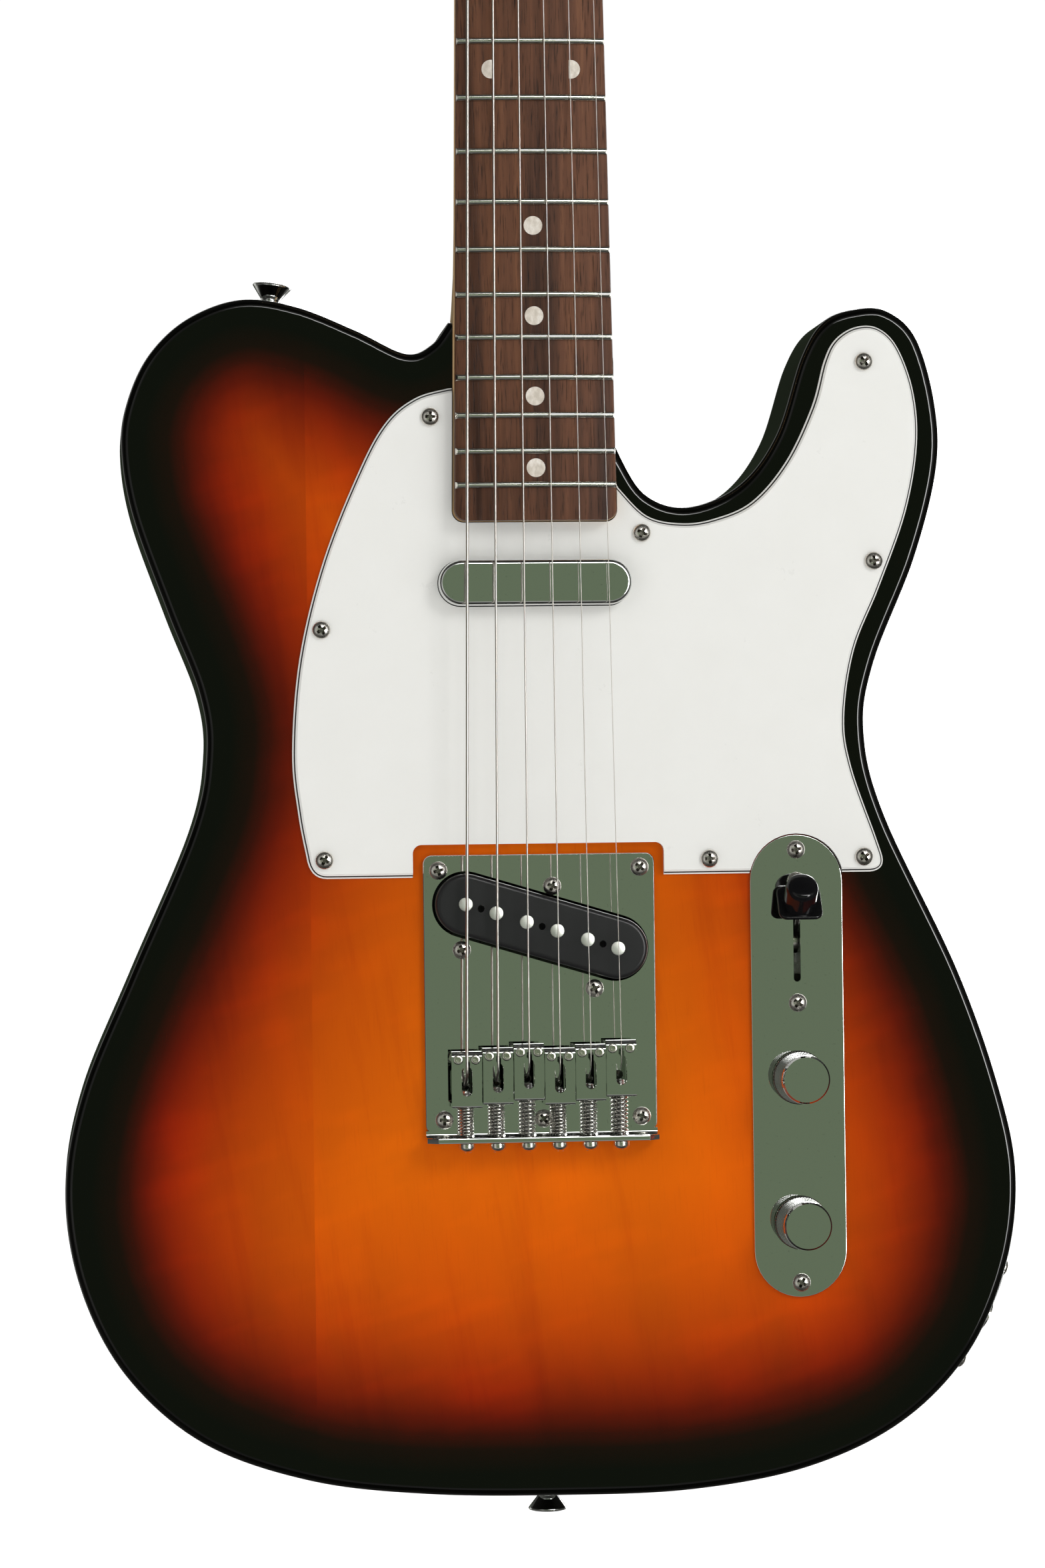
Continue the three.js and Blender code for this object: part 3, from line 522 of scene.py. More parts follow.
def tube(points, radii, sides=10):
    """A round wire through the points, with one radius for all or one for each."""
    points = np.asarray(points, float)
    radii = np.broadcast_to(radii, (len(points),))
    tangents = np.gradient(points, axis=0)
    tangents /= np.linalg.norm(tangents, axis=1)[:, None]
    side = np.cross(tangents[0], (0.3, 0.5, 0.8))
    vertices, rings = [], []
    angles = 2 * np.pi * np.arange(sides) / sides
    for point, tangent, radius in zip(points, tangents, radii):
        side = side - tangent * (side @ tangent)
        side /= np.linalg.norm(side)
        up = np.cross(tangent, side)
        rings.append(list(range(len(vertices), len(vertices) + sides)))
        vertices.extend(point + radius * (np.outer(np.cos(angles), side) + np.outer(np.sin(angles), up)))
    faces = skin(rings) + [rings[0][::-1], rings[-1]]
    return new_mesh("tube", vertices, faces)


def loft(rings):
    """A closed skin over rings of 3-D points."""
    count = len(rings[0])
    vertices = np.vstack(rings)
    numbers = [list(range(k * count, (k + 1) * count)) for k in range(len(rings))]
    mesh = new_mesh("loft", vertices, skin(numbers) + [numbers[0][::-1], numbers[-1]])
    return weld(mesh)


def merged(*meshes):
    """Several meshes as one, each still its own closed shell."""
    work = bmesh.new()
    for mesh in meshes:
        work.from_mesh(mesh)
    result = bpy.data.meshes.new("merged")
    work.to_mesh(result)
    work.free()
    return result


# ---------------------------------------------------------------- materials


class Nodes:
    """A short way to write the nodes of a world or a material."""

    def __init__(self, tree):
        self.tree = tree

    def add(self, kind, inputs=None, **properties):
        node = self.tree.nodes.new(kind)
        for key, value in properties.items():
            setattr(node, key, value)
        for key, value in (inputs or {}).items():
            if isinstance(value, bpy.types.NodeSocket):
                self.tree.links.new(value, node.inputs[key])
            else:
                node.inputs[key].default_value = value
        return node

    def position(self, scale=(1, 1, 1)):
        """Object coordinates in millimetres, stretched by a scale for each axis."""
        place = self.add("ShaderNodeTexCoord").outputs["Object"]
        grown = [s / MM for s in scale]
        return self.add("ShaderNodeMapping", {"Vector": place, "Scale": grown}).outputs[0]

    def noise(self, scale, vector, detail=4, roughness=0.5):
        inputs = {"Vector": vector, "Scale": scale, "Detail": detail, "Roughness": roughness}
        return self.add("ShaderNodeTexNoise", inputs).outputs["Fac"]

    def ramp(self, value, *stops):
        node = self.add("ShaderNodeValToRGB", {"Fac": value})
        elements = node.color_ramp.elements
        while len(elements) < len(stops):
            elements.new(0.5)
        for element, (place, colour) in zip(elements, stops):
            element.position = place
            element.color = (*colour, 1) if isinstance(colour, tuple) else (colour, colour, colour, 1)
        return node.outputs["Color"]

    def mix(self, factor, a, b, blend="MIX"):
        node = self.add("ShaderNodeMix", data_type="RGBA", blend_type=blend)
        for key, value in ((0, factor), (6, a), (7, b)):
            if isinstance(value, bpy.types.NodeSocket):
                self.tree.links.new(value, node.inputs[key])
            else:
                node.inputs[key].default_value = (*value, 1) if isinstance(value, tuple) else value
        return node.outputs[2]

    def math(self, operation, *values, clamp=False):
        inputs = dict(enumerate(values))
        return self.add("ShaderNodeMath", inputs, operation=operation, use_clamp=clamp).outputs[0]

    def vector(self, operation, *values, output="Vector"):
        inputs = dict(enumerate(values))
        return self.add("ShaderNodeVectorMath", inputs, operation=operation).outputs[output]

    def axis(self, name, vector):
        return self.add("ShaderNodeSeparateXYZ", {"Vector": vector}).outputs[name]

    def map_range(self, value, start, end, low, high):
        inputs = dict(enumerate((value, start, end, low, high)))
        return self.add("ShaderNodeMapRange", inputs).outputs[0]


class Finish(Nodes):
    """The nodes of a material, round its Principled shader."""

    def __init__(self, name, **settings):
        self.material = bpy.data.materials.new(name)
        self.material.use_nodes = True
        super().__init__(self.material.node_tree)
        self.shader = self.tree.nodes["Principled BSDF"]
        for key, value in settings.items():
            socket = self.shader.inputs[key.replace("_", " ")]
            socket.default_value = (*value, 1) if isinstance(value, tuple) else value

    def colour(self, socket):
        self.tree.links.new(socket, self.shader.inputs["Base Color"])

    def roughness(self, socket):
        self.tree.links.new(socket, self.shader.inputs["Roughness"])

    def bump(self, height, depth, strength=1):
        """Bump whose full height is a depth in millimetres."""
        inputs = {"Height": height, "Strength": strength, "Distance": depth * MM}
        node = self.add("ShaderNodeBump", inputs)
        self.tree.links.new(node.outputs[0], self.shader.inputs["Normal"])


def metal(name, colour, roughness, smear=0.05, grain=0.0, seed=0.0):
    """A plated or bare metal, with faint smears in its polish, small dark specks and a fine grain."""
    n = Finish(name, Base_Color=colour, Metallic=1.0, Roughness=roughness)
    moved = n.vector("ADD", n.position(), (seed, seed * 2, seed * 3))
    smears = n.ramp(n.noise(0.09, moved, detail=7, roughness=0.65), (0.45, 0.0), (0.8, 1.0))
    n.roughness(n.math("MULTIPLY_ADD", smears, smear, roughness))
    specks = n.ramp(n.noise(1.1, moved, detail=3), (0.66, 0.0), (0.8, 1.0))
    n.colour(n.mix(specks, colour, tuple(c * 0.8 for c in colour)))
    if grain:
        n.bump(n.noise(6, moved, detail=2), grain)
    return n.material


def plastic(name, colour, roughness, speckle=0.02, coat=0.0, grain=0.004, specular=0.5):
    """Moulded plastic, slightly uneven in colour and polish."""
    n = Finish(name, Base_Color=colour, Roughness=roughness, Coat_Weight=coat, Coat_Roughness=0.04,
              Specular_IOR_Level=specular)
    place = n.position()
    darker = tuple(max(0, c * (1 - 6 * speckle)) for c in colour)
    n.colour(n.mix(n.ramp(n.noise(0.35, place, detail=8), (0.3, 0.0), (0.8, 1.0)), colour, darker))
    n.roughness(n.math("MULTIPLY_ADD", n.noise(0.2, place, detail=6), 0.12, max(0, roughness - 0.06)))
    n.bump(n.noise(2.5, place, detail=3), grain)
    return n.material


SUNBURST_REACH = 120
SEAM_X = -77.7
GRAIN_SHIFT = 300.0

# The burst's colours by distance from the rim, in millimetres.
BURST = ((8, (0.0004, 0.0005, 0.0002)), (16, (0.005, 0.0008, 0.0002)), (21, (0.027, 0.0014, 0.0001)),
         (27, (0.085, 0.004, 0.0001)), (34, (0.175, 0.0115, 0.0001)), (42, (0.262, 0.0225, 0.0001)),
         (54, (0.37, 0.043, 0.0001)), (72, (0.48, 0.07, 0.0001)), (105, (0.61, 0.105, 0.0001)))


def screw_material():
    """Satin nickel, with painted shade and grime inside the cross recess of a head that stands along its own
    +Z.
    """
    n = Finish("screw_nickel", Metallic=1.0)
    generated = n.add("ShaderNodeTexCoord").outputs["Generated"]
    spread = n.vector("ABSOLUTE", n.vector("SUBTRACT", generated, (0.5, 0.5, 0.0)))
    x, y = n.axis("X", spread), n.axis("Y", spread)
    blade_half_width, blade_reach = 0.085, 0.27
    in_blade = n.math("LESS_THAN", n.math("MINIMUM", x, y), blade_half_width)
    in_reach = n.math("LESS_THAN", n.math("MAXIMUM", x, y), blade_reach)
    recess = n.math("MULTIPLY", in_blade, in_reach)
    # Painted shade and grime: the cross recess is coloured near black, standing in for the shade that falls
    # inside it as well as dirt.
    recess_shade_and_grime = n.math("MULTIPLY", recess, n.ramp(n.noise(1.2, n.position(), detail=4), (0.3, 0.95), (0.75, 0.6)))
    n.colour(n.mix(recess_shade_and_grime, (0.80, 0.765, 0.71), (0.07, 0.055, 0.045)))
    n.roughness(n.math("MULTIPLY_ADD", n.noise(0.5, n.position(), detail=6), 0.14, 0.2))
    n.bump(n.noise(6, n.position(), detail=2), 0.003)
    return n.material


def sunburst_material():
    """Amber wood that darkens through red to black near the rim, under clear gloss lacquer.

    The mesh holds each point's distance from the rim, in millimetres over SUNBURST_REACH, as rim_distance.
    """
    n = Finish("sunburst_lacquer", Roughness=0.3, Coat_Weight=1.0, Coat_Roughness=0.01, Coat_IOR=1.42,
              Specular_IOR_Level=0.0)
    left_board = n.math("LESS_THAN", n.axis("X", n.position()), SEAM_X)
    shift = n.add("ShaderNodeCombineXYZ", {"X": n.math("MULTIPLY", left_board, GRAIN_SHIFT)}).outputs[0]

    def grain(scale, stretch, lean, **settings):
        """Noise along the grain, which leans a little from the vertical and differs on each board."""
        place = {"Vector": n.position(), "Axis": (0, 1, 0), "Angle": lean}
        moved = n.vector("ADD", n.add("ShaderNodeVectorRotate", place).outputs[0], shift)
        return n.noise(scale, n.vector("MULTIPLY", moved, stretch), **settings)

    cloud = n.math("SUBTRACT", grain(0.012, (1, 1, 1), 0.0, detail=3), 0.5)
    from_rim = n.add("ShaderNodeAttribute", attribute_name="rim_distance").outputs["Fac"]
    burst = n.ramp(n.math("MULTIPLY_ADD", cloud, 0.05, from_rim),
                   *((distance / SUNBURST_REACH, colour) for distance, colour in BURST))
    figure = grain(0.022, (1, 1, 0.35), 0.22, detail=4, roughness=0.5)
    dark_lines = grain(0.11, (1, 1, 0.07), 0.16, detail=5, roughness=0.55)
    curl = grain(0.075, (0.3, 1, 1), 0.3, detail=2)
    pores = grain(1.3, (1.3, 1, 0.06), 0.05, detail=4)
    for noise, low, high, tint, blend in (
            (figure, (0.42, 0.0), (0.72, 0.55), (1.0, 0.62, 0.3), "SOFT_LIGHT"),
            (dark_lines, (0.30, 0.34), (0.47, 0.0), (0.72, 0.45, 0.3), "MULTIPLY"),
            (curl, (0.5, 0.0), (0.72, 0.22), (1.0, 0.7, 0.3), "SOFT_LIGHT"),
            (pores, (0.55, 0.0), (0.78, 0.16), (0.55, 0.3, 0.2), "MULTIPLY")):
        burst = n.mix(n.ramp(noise, low, high), burst, tint, blend)
    burst = n.mix(n.math("MULTIPLY", left_board, 0.5), burst, (0.87, 0.76, 0.7), "MULTIPLY")
    # Painted shade: the walls of the cavities inside are coloured near black.
    depth = n.axis("Y", n.position())
    inside_slab = n.math("MULTIPLY", n.math("GREATER_THAN", depth, 0.4),
                         n.math("LESS_THAN", depth, BODY_THICKNESS - 0.4))
    off_rim = n.math("GREATER_THAN", from_rim, (BODY_EDGE_RADIUS + 1) / SUNBURST_REACH)
    cavity_shade = n.math("MULTIPLY", inside_slab, off_rim)
    n.colour(n.mix(cavity_shade, burst, (0.012, 0.008, 0.006)))
    n.bump(n.noise(0.03, n.position(), detail=2), 0.03)
    return n.material


def guard_material():
    """White over black over white laminate: the black ply shows where the bevel cuts through it."""
    n = Finish("guard_laminate", Roughness=0.3, Coat_Weight=0.25, Coat_Roughness=0.08)
    place = n.position()
    y = n.axis("Y", place)
    black_front, black_back = -1.62, -1.18
    in_black = n.math("MULTIPLY", n.math("GREATER_THAN", y, black_front), n.math("LESS_THAN", y, black_back))
    white = n.mix(n.noise(0.06, place, detail=5), (0.745, 0.742, 0.705), (0.78, 0.777, 0.745))
    n.colour(n.mix(in_black, white, (0.012, 0.012, 0.012)))
    n.roughness(n.math("MULTIPLY_ADD", n.noise(0.1, place, detail=8, roughness=0.7), 0.16, 0.22))
    n.bump(n.noise(0.9, place, detail=4), 0.004)
    return n.material


def maple_material():
    """Pale honey wood under satin lacquer, with brown flecks and a soft curl."""
    n = Finish("maple", Roughness=0.32, Coat_Weight=0.6, Coat_Roughness=0.12)
    grain = n.noise(0.09, n.position((1, 1, 0.05)), detail=7, roughness=0.6)
    colour = n.ramp(grain, (0.3, (0.60, 0.375, 0.18)), (0.5, (0.70, 0.47, 0.245)), (0.7, (0.75, 0.53, 0.30)))
    flecks = n.noise(1.3, n.position((1.4, 1.4, 0.1)), detail=3)
    colour = n.mix(n.ramp(flecks, (0.6, 0.0), (0.78, 0.35)), colour, (0.42, 0.23, 0.1), "MULTIPLY")
    curl = n.noise(0.06, n.position((0.35, 0.35, 1)), detail=2)
    n.colour(n.mix(n.ramp(curl, (0.4, 0.0), (0.65, 0.25)), colour, (0.8, 0.6, 0.37), "SOFT_LIGHT"))
    n.bump(flecks, 0.006)
    return n.material


def rosewood_material():
    """Dark brown open-grained board with near-black streaks along it."""
    n = Finish("rosewood", Roughness=0.48, Specular_IOR_Level=0.2)
    streaks = n.noise(0.16, n.position((1, 1, 0.035)), detail=8, roughness=0.62)
    colour = n.ramp(streaks, (0.30, (0.026, 0.010, 0.005)), (0.45, (0.070, 0.028, 0.014)),
                    (0.56, (0.110, 0.045, 0.022)), (0.72, (0.175, 0.076, 0.037)))
    pores = n.noise(1.5, n.position((1.5, 1.5, 0.07)), detail=3, roughness=0.6)
    open_pores = n.ramp(pores, (0.55, 0.0), (0.68, 1.0))
    n.colour(n.mix(open_pores, colour, (0.25, 0.22, 0.2), "MULTIPLY"))
    n.roughness(n.math("MULTIPLY_ADD", streaks, 0.25, 0.32))
    n.bump(n.math("SUBTRACT", 1.0, open_pores), 0.05)
    return n.material


def pearl_material():
    """Warm cloudy shell."""
    n = Finish("pearl_dot", Roughness=0.22, Coat_Weight=0.5, Coat_Roughness=0.05)
    n.colour(n.ramp(n.noise(0.6, n.position((1, 1, 0.6)), detail=4, roughness=0.6),
                    (0.35, (0.56, 0.50, 0.42)), (0.52, (0.68, 0.62, 0.54)), (0.68, (0.80, 0.76, 0.69))))
    n.bump(n.noise(0.8, n.position(), detail=2), 0.01)
    return n.material


def bone_material():
    """Ivory-coloured, with faint streaks across the neck."""
    n = Finish("bone", Roughness=0.35, Subsurface_Weight=0.05)
    n.colour(n.ramp(n.noise(0.5, n.position((0.3, 1, 1)), detail=5),
                    (0.3, (0.70, 0.64, 0.50)), (0.7, (0.80, 0.76, 0.64))))
    n.bump(n.noise(2.0, n.position((0.3, 1, 1)), detail=3), 0.01)
    return n.material


SUNBURST = sunburst_material()
GUARD = guard_material()
MAPLE = maple_material()
ROSEWOOD = rosewood_material()
PEARL = pearl_material()
BONE = bone_material()
CHROME = metal("chrome", (0.78, 0.79, 0.78), 0.02, smear=0.03)
NICKEL = metal("nickel", (0.80, 0.77, 0.71), 0.2, smear=0.1, grain=0.003, seed=7)
FRET_NICKEL = metal("fret_nickel", (0.80, 0.79, 0.73), 0.18, smear=0.08, seed=11)
STEEL = metal("steel", (0.66, 0.66, 0.65), 0.22, smear=0.12, grain=0.005, seed=3)
SCREW_NICKEL = screw_material()
# Painted shade: the knurled barrel's chrome is coloured much darker than chrome, standing in for the shade
# and dark reflections in its grooves.
KNURL_SHADE_CHROME = metal("knurl_shaded_chrome", (0.30, 0.30, 0.29), 0.1, smear=0.06, seed=23)
POLE_STEEL = metal("pole_steel", (0.72, 0.73, 0.67), 0.42, smear=0.15, grain=0.006, seed=5)
STRING_METAL = metal("string_wire", (0.60, 0.56, 0.52), 0.3, smear=0.08, seed=13)
SPRING_STEEL = metal("spring_steel", (0.80, 0.78, 0.74), 0.12, smear=0.06, seed=19)
BLACK = plastic("black_plastic", (0.012, 0.012, 0.0125), 0.34, coat=0.08, specular=0.3)
GLOSS_BLACK = plastic("gloss_black_plastic", (0.004, 0.004, 0.0045), 0.14, coat=0.2, grain=0.002,
                      specular=0.22)
TAPE = plastic("coil_tape", (0.014, 0.014, 0.014), 0.7, grain=0.03)

# ---------------------------------------------------------------- fasteners


def dome(radius, rim, height, steps=8):
    """The profile of a domed head with a short straight rim, from its underside on the axis to its top."""
    turns = np.linspace(0, math.pi / 2, steps + 1)
    curve = [(radius * math.cos(a), rim + (height - rim) * math.sin(a)) for a in turns[:-1]]
    return [(0, 0), (radius, 0)] + curve + [(0, height)]


def cross_recess(radius, top, depth):
    """Two tapered blades, for cutting a cross recess down from a height."""
    blades = []
    for turn in (0, math.pi / 2):
        c, s = math.cos(turn), math.sin(turn)
        rings = []
        for height, reach, half in ((top - depth, 0.3, 0.11), (top + 0.3, 0.68, 0.2)):
            corners = [(-reach, -half), (reach, -half), (reach, half), (-reach, half)]
            rings.append([(radius * (x * c - y * s), radius * (x * s + y * c), height) for x, y in corners])
        blades.append(loft(rings))
    return blades


def cross_head(radius, rim, height):
    """A domed head with a cross recess."""
    return cut(turned(dome(radius, rim, height)), *cross_recess(radius, height, 0.72 * height))


def hex_rod(radius, top, bottom):
    points = circle(0, 0, radius, 6)
    return loft([[(x, y, z) for x, y in points] for z in (bottom, top)])


def socket_screw(radius, length):
    """A headless screw with a hexagonal socket, its top at height 0."""
    profile = [(0, -length), (radius, -length), (radius, -0.4), (radius - 0.12, -0.12), (radius - 0.4, 0),
               (0, 0)]
    return cut(turned(profile, sides=24), hex_rod(0.55 * radius, 1, -1.4))


def threaded(radius, start, end, pitch=0.7, depth=0.28):
    """The profile of a threaded rod, as rings along its axis."""
    profile = [(0, start)]
    height = start
    while height < end - pitch:
        profile += [(radius - depth, height), (radius, height + 0.5 * pitch)]
        height += pitch
    return profile + [(radius - depth, height), (radius - depth, end), (0, end)]


PAN_HEAD = cross_head(3.1, 0.45, 2)
SMALL_PAN_HEAD = cross_head(2.4, 0.4, 1.7)
BOLT_HEAD = cross_head(4.3, 0.7, 2.6)
BUTTON_HEAD = cross_head(3.6, 0.4, 1.6)
INTONATION_HEAD = cross_head(2.8, 1.2, 3.1)
SADDLE_SCREW = socket_screw(1.55, 9)


def screw(name, mesh, centre, axis, turn=0, material=None, slot="nickel", body="guitar"):
    """A screw with its head's underside at the centre, facing out along the axis, turned by some degrees."""
    place = axis_matrix(centre, axis) @ Matrix.Rotation(math.radians(turn), 4, "Z")
    return piece(name, mesh, material or SCREW_NICKEL, slot, body, place=place)


def front_screws(name, places, surface, first_turn, turn_step):
    """Pan heads that face the front on a surface at a y, each turned further than the one before."""
    for k, (x, z) in enumerate(places):
        screw(f"{name}_{k + 1}", PAN_HEAD, (x, surface, z), FRONT, first_turn + turn_step * k)


# ---------------------------------------------------------------- body

JACK_OUT = (math.cos(JACK_DROOP), 0, -math.sin(JACK_DROOP))
JACK_CENTRE = (JACK_POINT[0], BODY_MID_Y, JACK_POINT[1])


def bridge_pickup_outline(length, width):
    return turned_by(stadium(0, 0, length, width), BRIDGE_PICKUP_TILT, *BRIDGE_PICKUP_CENTRE)


def control_outline(length, width):
    return stadium(CONTROL_X, (CONTROL_TOP_Z + CONTROL_BOTTOM_Z) / 2, length, width, upright=True)


def make_body():
    """The slab with its pockets and bores, and each point's distance from the rim for the burst."""
    outline = body_outline()
    pockets = [(stadium(*NECK_PICKUP_CENTRE, *NECK_ROUT[:2]), NECK_ROUT[2]),
               (bridge_pickup_outline(*BRIDGE_ROUT[:2]), BRIDGE_ROUT[2]),
               (control_outline(*CONTROL_ROUT[:2]), CONTROL_ROUT[2])]
    bores = [circle(bridge_x(i), anchor_z(i), 2, 12) for i in range(STRING_COUNT)]
    edge = rounded_edge(0, BODY_THICKNESS, BODY_EDGE_RADIUS, steps=6)
    wood = plate(outline, edge, bores, pockets, spacing=3)
    pocket = plate(heel_outline(0.15), [(0, -5), (0, HEEL_DEPTH)])
    bore = rod(11, -60, 12, JACK_CENTRE, JACK_OUT, 24)
    wood = cut(wood, pocket, bore)
    places = np.empty(len(wood.vertices) * 3)
    wood.vertices.foreach_get("co", places)
    from_rim = distance_to_outline(places.reshape(-1, 3)[:, [0, 2]] / MM, without_repeats(outline))
    attribute = wood.attributes.new("rim_distance", "FLOAT", "POINT")
    attribute.data.foreach_set("value", np.clip(from_rim / SUNBURST_REACH, 0, 1).astype(np.float32))
    piece("body_wood", wood, SUNBURST, "sunburst_lacquer", replaces=["body"], sharp=30)


# ---------------------------------------------------------------- neck

# Stations of the neck's back as (z, y of the back, squareness): a D shaft that turns into a square heel.
NECK_STATIONS = [(6, 12.5, 3), (-10, 11.6, 2.6), (-40, 11.2, 2.3), (-160, 12.2, 2.3), (-300, 13.4, 2.3),
                 (-368, 14.2, 2.5), (-384, 15, 3.4), (-395, 15.8, 8), (-402, HEEL_DEPTH, 40),
                 (HEEL_END_Z, HEEL_DEPTH, 40)]
POCKET_MOUTH_Z = -380

HEADSTOCK_EDGE = [(21, 0), (22.5, 8), (27.5, 24), (31, 55), (32, 95), (34, 125), (38, 150), (35, 170),
                  (23, 181)]


def heel_corner():
    """Stations (z, half width) that round the corners of the neck's lower end."""
    wide = neck_half_width(HEEL_END_Z)
    return [(HEEL_END_Z + HEEL_CORNER * (1 - math.sin(turn)), wide - HEEL_CORNER * (1 - math.cos(turn)))
            for turn in np.radians(np.linspace(0, 90, 7))]


def heel_outline(gap):
    """The neck's lower end grown by a gap: straight on the cutaway side, and tapered on the other."""
    corner = heel_corner()
    right = [(HEEL_HALF_WIDTH + gap, POCKET_MOUTH_Z)] + [(half + gap, z - gap) for z, half in corner]
    left = [(-half - gap, z - gap) for z, half in reversed(corner)]
    return np.array(right + left + [(-neck_half_width(POCKET_MOUTH_Z) - gap, POCKET_MOUTH_Z)])


def neck_shaft():
    """The neck under the board, lofted through its stations."""
    heights = np.concatenate([np.linspace(6, -10, 5), np.linspace(-20, -360, 18), np.linspace(-368, -402, 18),
                              [-425]])
    corner = heel_corner()
    halves = [neck_half_width(z) for z in heights] + [half for _, half in corner]
    heights = np.append(heights, [z for z, _ in corner])
    stations = np.array(NECK_STATIONS)[::-1].T
    backs = np.interp(heights, stations[0], stations[1])
    powers = np.exp(np.interp(heights, stations[0], np.log(stations[2])))
    turn = np.linspace(0, math.pi, 41)
    rings = []
    for z, half, back, power in zip(heights, halves, backs, powers):
        x = half * np.sign(np.cos(turn)) * np.abs(np.cos(turn)) ** (2 / power)
        y = BOARD_BOTTOM_Y + (back - BOARD_BOTTOM_Y) * np.abs(np.sin(turn)) ** (2 / power)
        rings.append(np.column_stack([x, y, np.full(len(x), z)]))
    return loft(rings)


def headstock_outline():
    right = sparse_start(spline(HEADSTOCK_EDGE, 8), 4)
    top = quadratic((23, 181), (8, 183), (2, 171))
    left = quadratic((-35.5, 26), (-37.5, 15), (-29, 12))
    root = quadratic((-29, 12), (-22.5, 9), (-21, 0))
    return np.vstack([right, top, left, root])


def make_neck():
    """The shaft and the headstock, with the hollow that leads from the board down to the headstock's face."""
    holes = [circle(*tuner_place(i), 5, 24) for i in range(STRING_COUNT)]
    head = plate(headstock_outline(), rounded_edge(HEADSTOCK_FACE_Y, HEADSTOCK_BACK_Y, 1.2, 3), holes)
    face = HEADSTOCK_FACE_Y
    hollow = flipped(quadratic((5, BOARD_BOTTOM_Y), (7, face), (16, face + 0.2)))
    root = bar([(5, 0), (BOARD_BOTTOM_Y, 0)] + hollow + [(5, 16)], -NUT_HALF_WIDTH, NUT_HALF_WIDTH)
    wood = combine(neck_shaft(), [head, root], "UNION")
    piece("neck_wood", wood, MAPLE, "maple", replaces=["neck"], sharp=30)


def board_surface(x):
    return BOARD_TOP_Y + camber(x)


def make_fretboard():
    """The cambered board, cut a little narrower than the neck, with its frets and dots."""
    along_neck = [(z, neck_half_width(z)) for z in np.linspace(-20, -460, 23)]
    rings = []
    for z, wide in [(0, NUT_HALF_WIDTH)] + along_neck + heel_corner():
        half = wide - MAPLE_EDGE
        eased = 1 - 0.3 / half
        side_top = board_surface(half) + 0.5
        top = [(x * eased, board_surface(x), z) for x in np.linspace(-half, half, 15)]
        rings.append([(-half, BOARD_BOTTOM_Y, z), (-half, side_top, z), *top,
                      (half, side_top, z), (half, BOARD_BOTTOM_Y, z)])
    piece("board_wood", loft(rings), ROSEWOOD, "rosewood", replaces=["fretboard"], sharp=30)
    for n in range(1, FRET_COUNT + 1):
        make_fret(n)
    make_dots()


def make_fret(n):
    """A crowned wire over the board, with sloping ends."""
    height, half_width = 1.1, 1.2
    half = neck_half_width(fret_z(n)) - MAPLE_EDGE - 0.1
    crown = [(half_width * math.cos(a), math.sin(a) ** 0.8) for a in np.linspace(0, math.pi, 9)]
    middle = [(x, 1) for x in np.linspace(-half + 4, half - 4, 9)]
    rings = []
    for x, rise in [(-half, 0.15), (-half + 0.7, 1)] + middle + [(half - 0.7, 1), (half, 0.15)]:
        foot = board_surface(x) + 0.3
        rings.append([(x, foot - (height + 0.3) * rise * up, fret_z(n) + z) for z, up in crown])
    piece(f"fret_{n}", loft(rings), FRET_NICKEL, "nickel", sharp=50)


def make_dots():
    """A dot between frets, or two side by side at the octave."""
    radius, spread = 3.175, 13.6
    for n in (3, 5, 7, 9, 12, 15, 17, 19, 21):
        z = (fret_z(n) + fret_z(n - 1)) / 2
        for side in ((-1, 1) if n == 12 else (0,)):
            x = side * spread
            disc = rod(radius, -1, 0.02, (x, board_surface(x), z), FRONT, 40)
            piece(f"dot_{n}_{side + 1}", disc, PEARL, "guard_laminate", sharp=30)


def make_nut():
    """A bone bar with a slot for each string."""
    half = NUT_HALF_WIDTH - 0.2
    blank = box((-half, half), (NUT_STRING_Y - 0.4, BOARD_BOTTOM_Y), (0.02, 3.4))
    slots = []
    for i, radius in enumerate(STRING_RADII):
        side = radius + 0.15
        across = nut_x(i) - side, nut_x(i) + side
        slots.append(box(across, (NUT_STRING_Y - 1, NUT_STRING_Y + radius + 0.1), (-1, 5)))
    piece("nut_blank", cut(blank, *slots), BONE, "bone", replaces=["nut"], bevel=0.2)


# ---------------------------------------------------------------- pickguard and pickups

GUARD_SCREWS = [(-35.3, -431.6), (-73.1, -503.7), (-73, -581.7), (58.4, -582.8), (111.7, -582.8),
                (36.6, -471.5), (116.4, -481.6), (113.9, -413.3)]
GUARD_FOOT_Z = -588
PICKUP_SCREWS = ((-23.6, -15.2), (0, 14.2), (23.6, -15.2))


def guard_outline():
    foot = GUARD_FOOT_Z
    left_corner = quadratic((-79, -580.5), (-78, foot), (-72, foot))
    right_corner = quadratic((114, foot), (120, foot + 0.5), (118, -581.5))
    under_neck = [(20, -440), (-20, -421)]
    return np.vstack([under_neck, spline(GUARD_LEFT, 8), left_corner, right_corner, spline(GUARD_RIGHT, 8)])


def make_guard():
    """The bevelled sheet, cut out round the neck, the bridge, the control plate and the neck pickup."""
    chamfer = 1.6
    edge = [(chamfer, -GUARD_THICKNESS), (0, chamfer - GUARD_THICKNESS), (0, 0)]
    window = stadium(*NECK_PICKUP_CENTRE, *(size + gap for size, gap in zip(NECK_COVER_SIZE, (0.3, 0.4))))
    sheet = plate(guard_outline(), edge, [window])
    through = [(0, -6), (0, 4)]
    neck_end = plate(heel_outline(0.3), through)
    notch = rounded_rect(BRIDGE_LEFT - 3.4, BRIDGE_RIGHT + 3.4, -600, BRIDGE_FRONT_Z + 3.6, 3)
    length = CONTROL_TOP_Z - CONTROL_BOTTOM_Z + 0.8
    controls = plate(control_outline(length, 2 * CONTROL_HALF_WIDTH + 0.8), through)
    sheet = cut(sheet, neck_end, plate(notch, through), controls)
    piece("guard_sheet", sheet, GUARD, "guard_laminate", replaces=["pickguard"], sharp=30)
    front_screws("guard_screw", GUARD_SCREWS, -GUARD_THICKNESS, 0, 31)


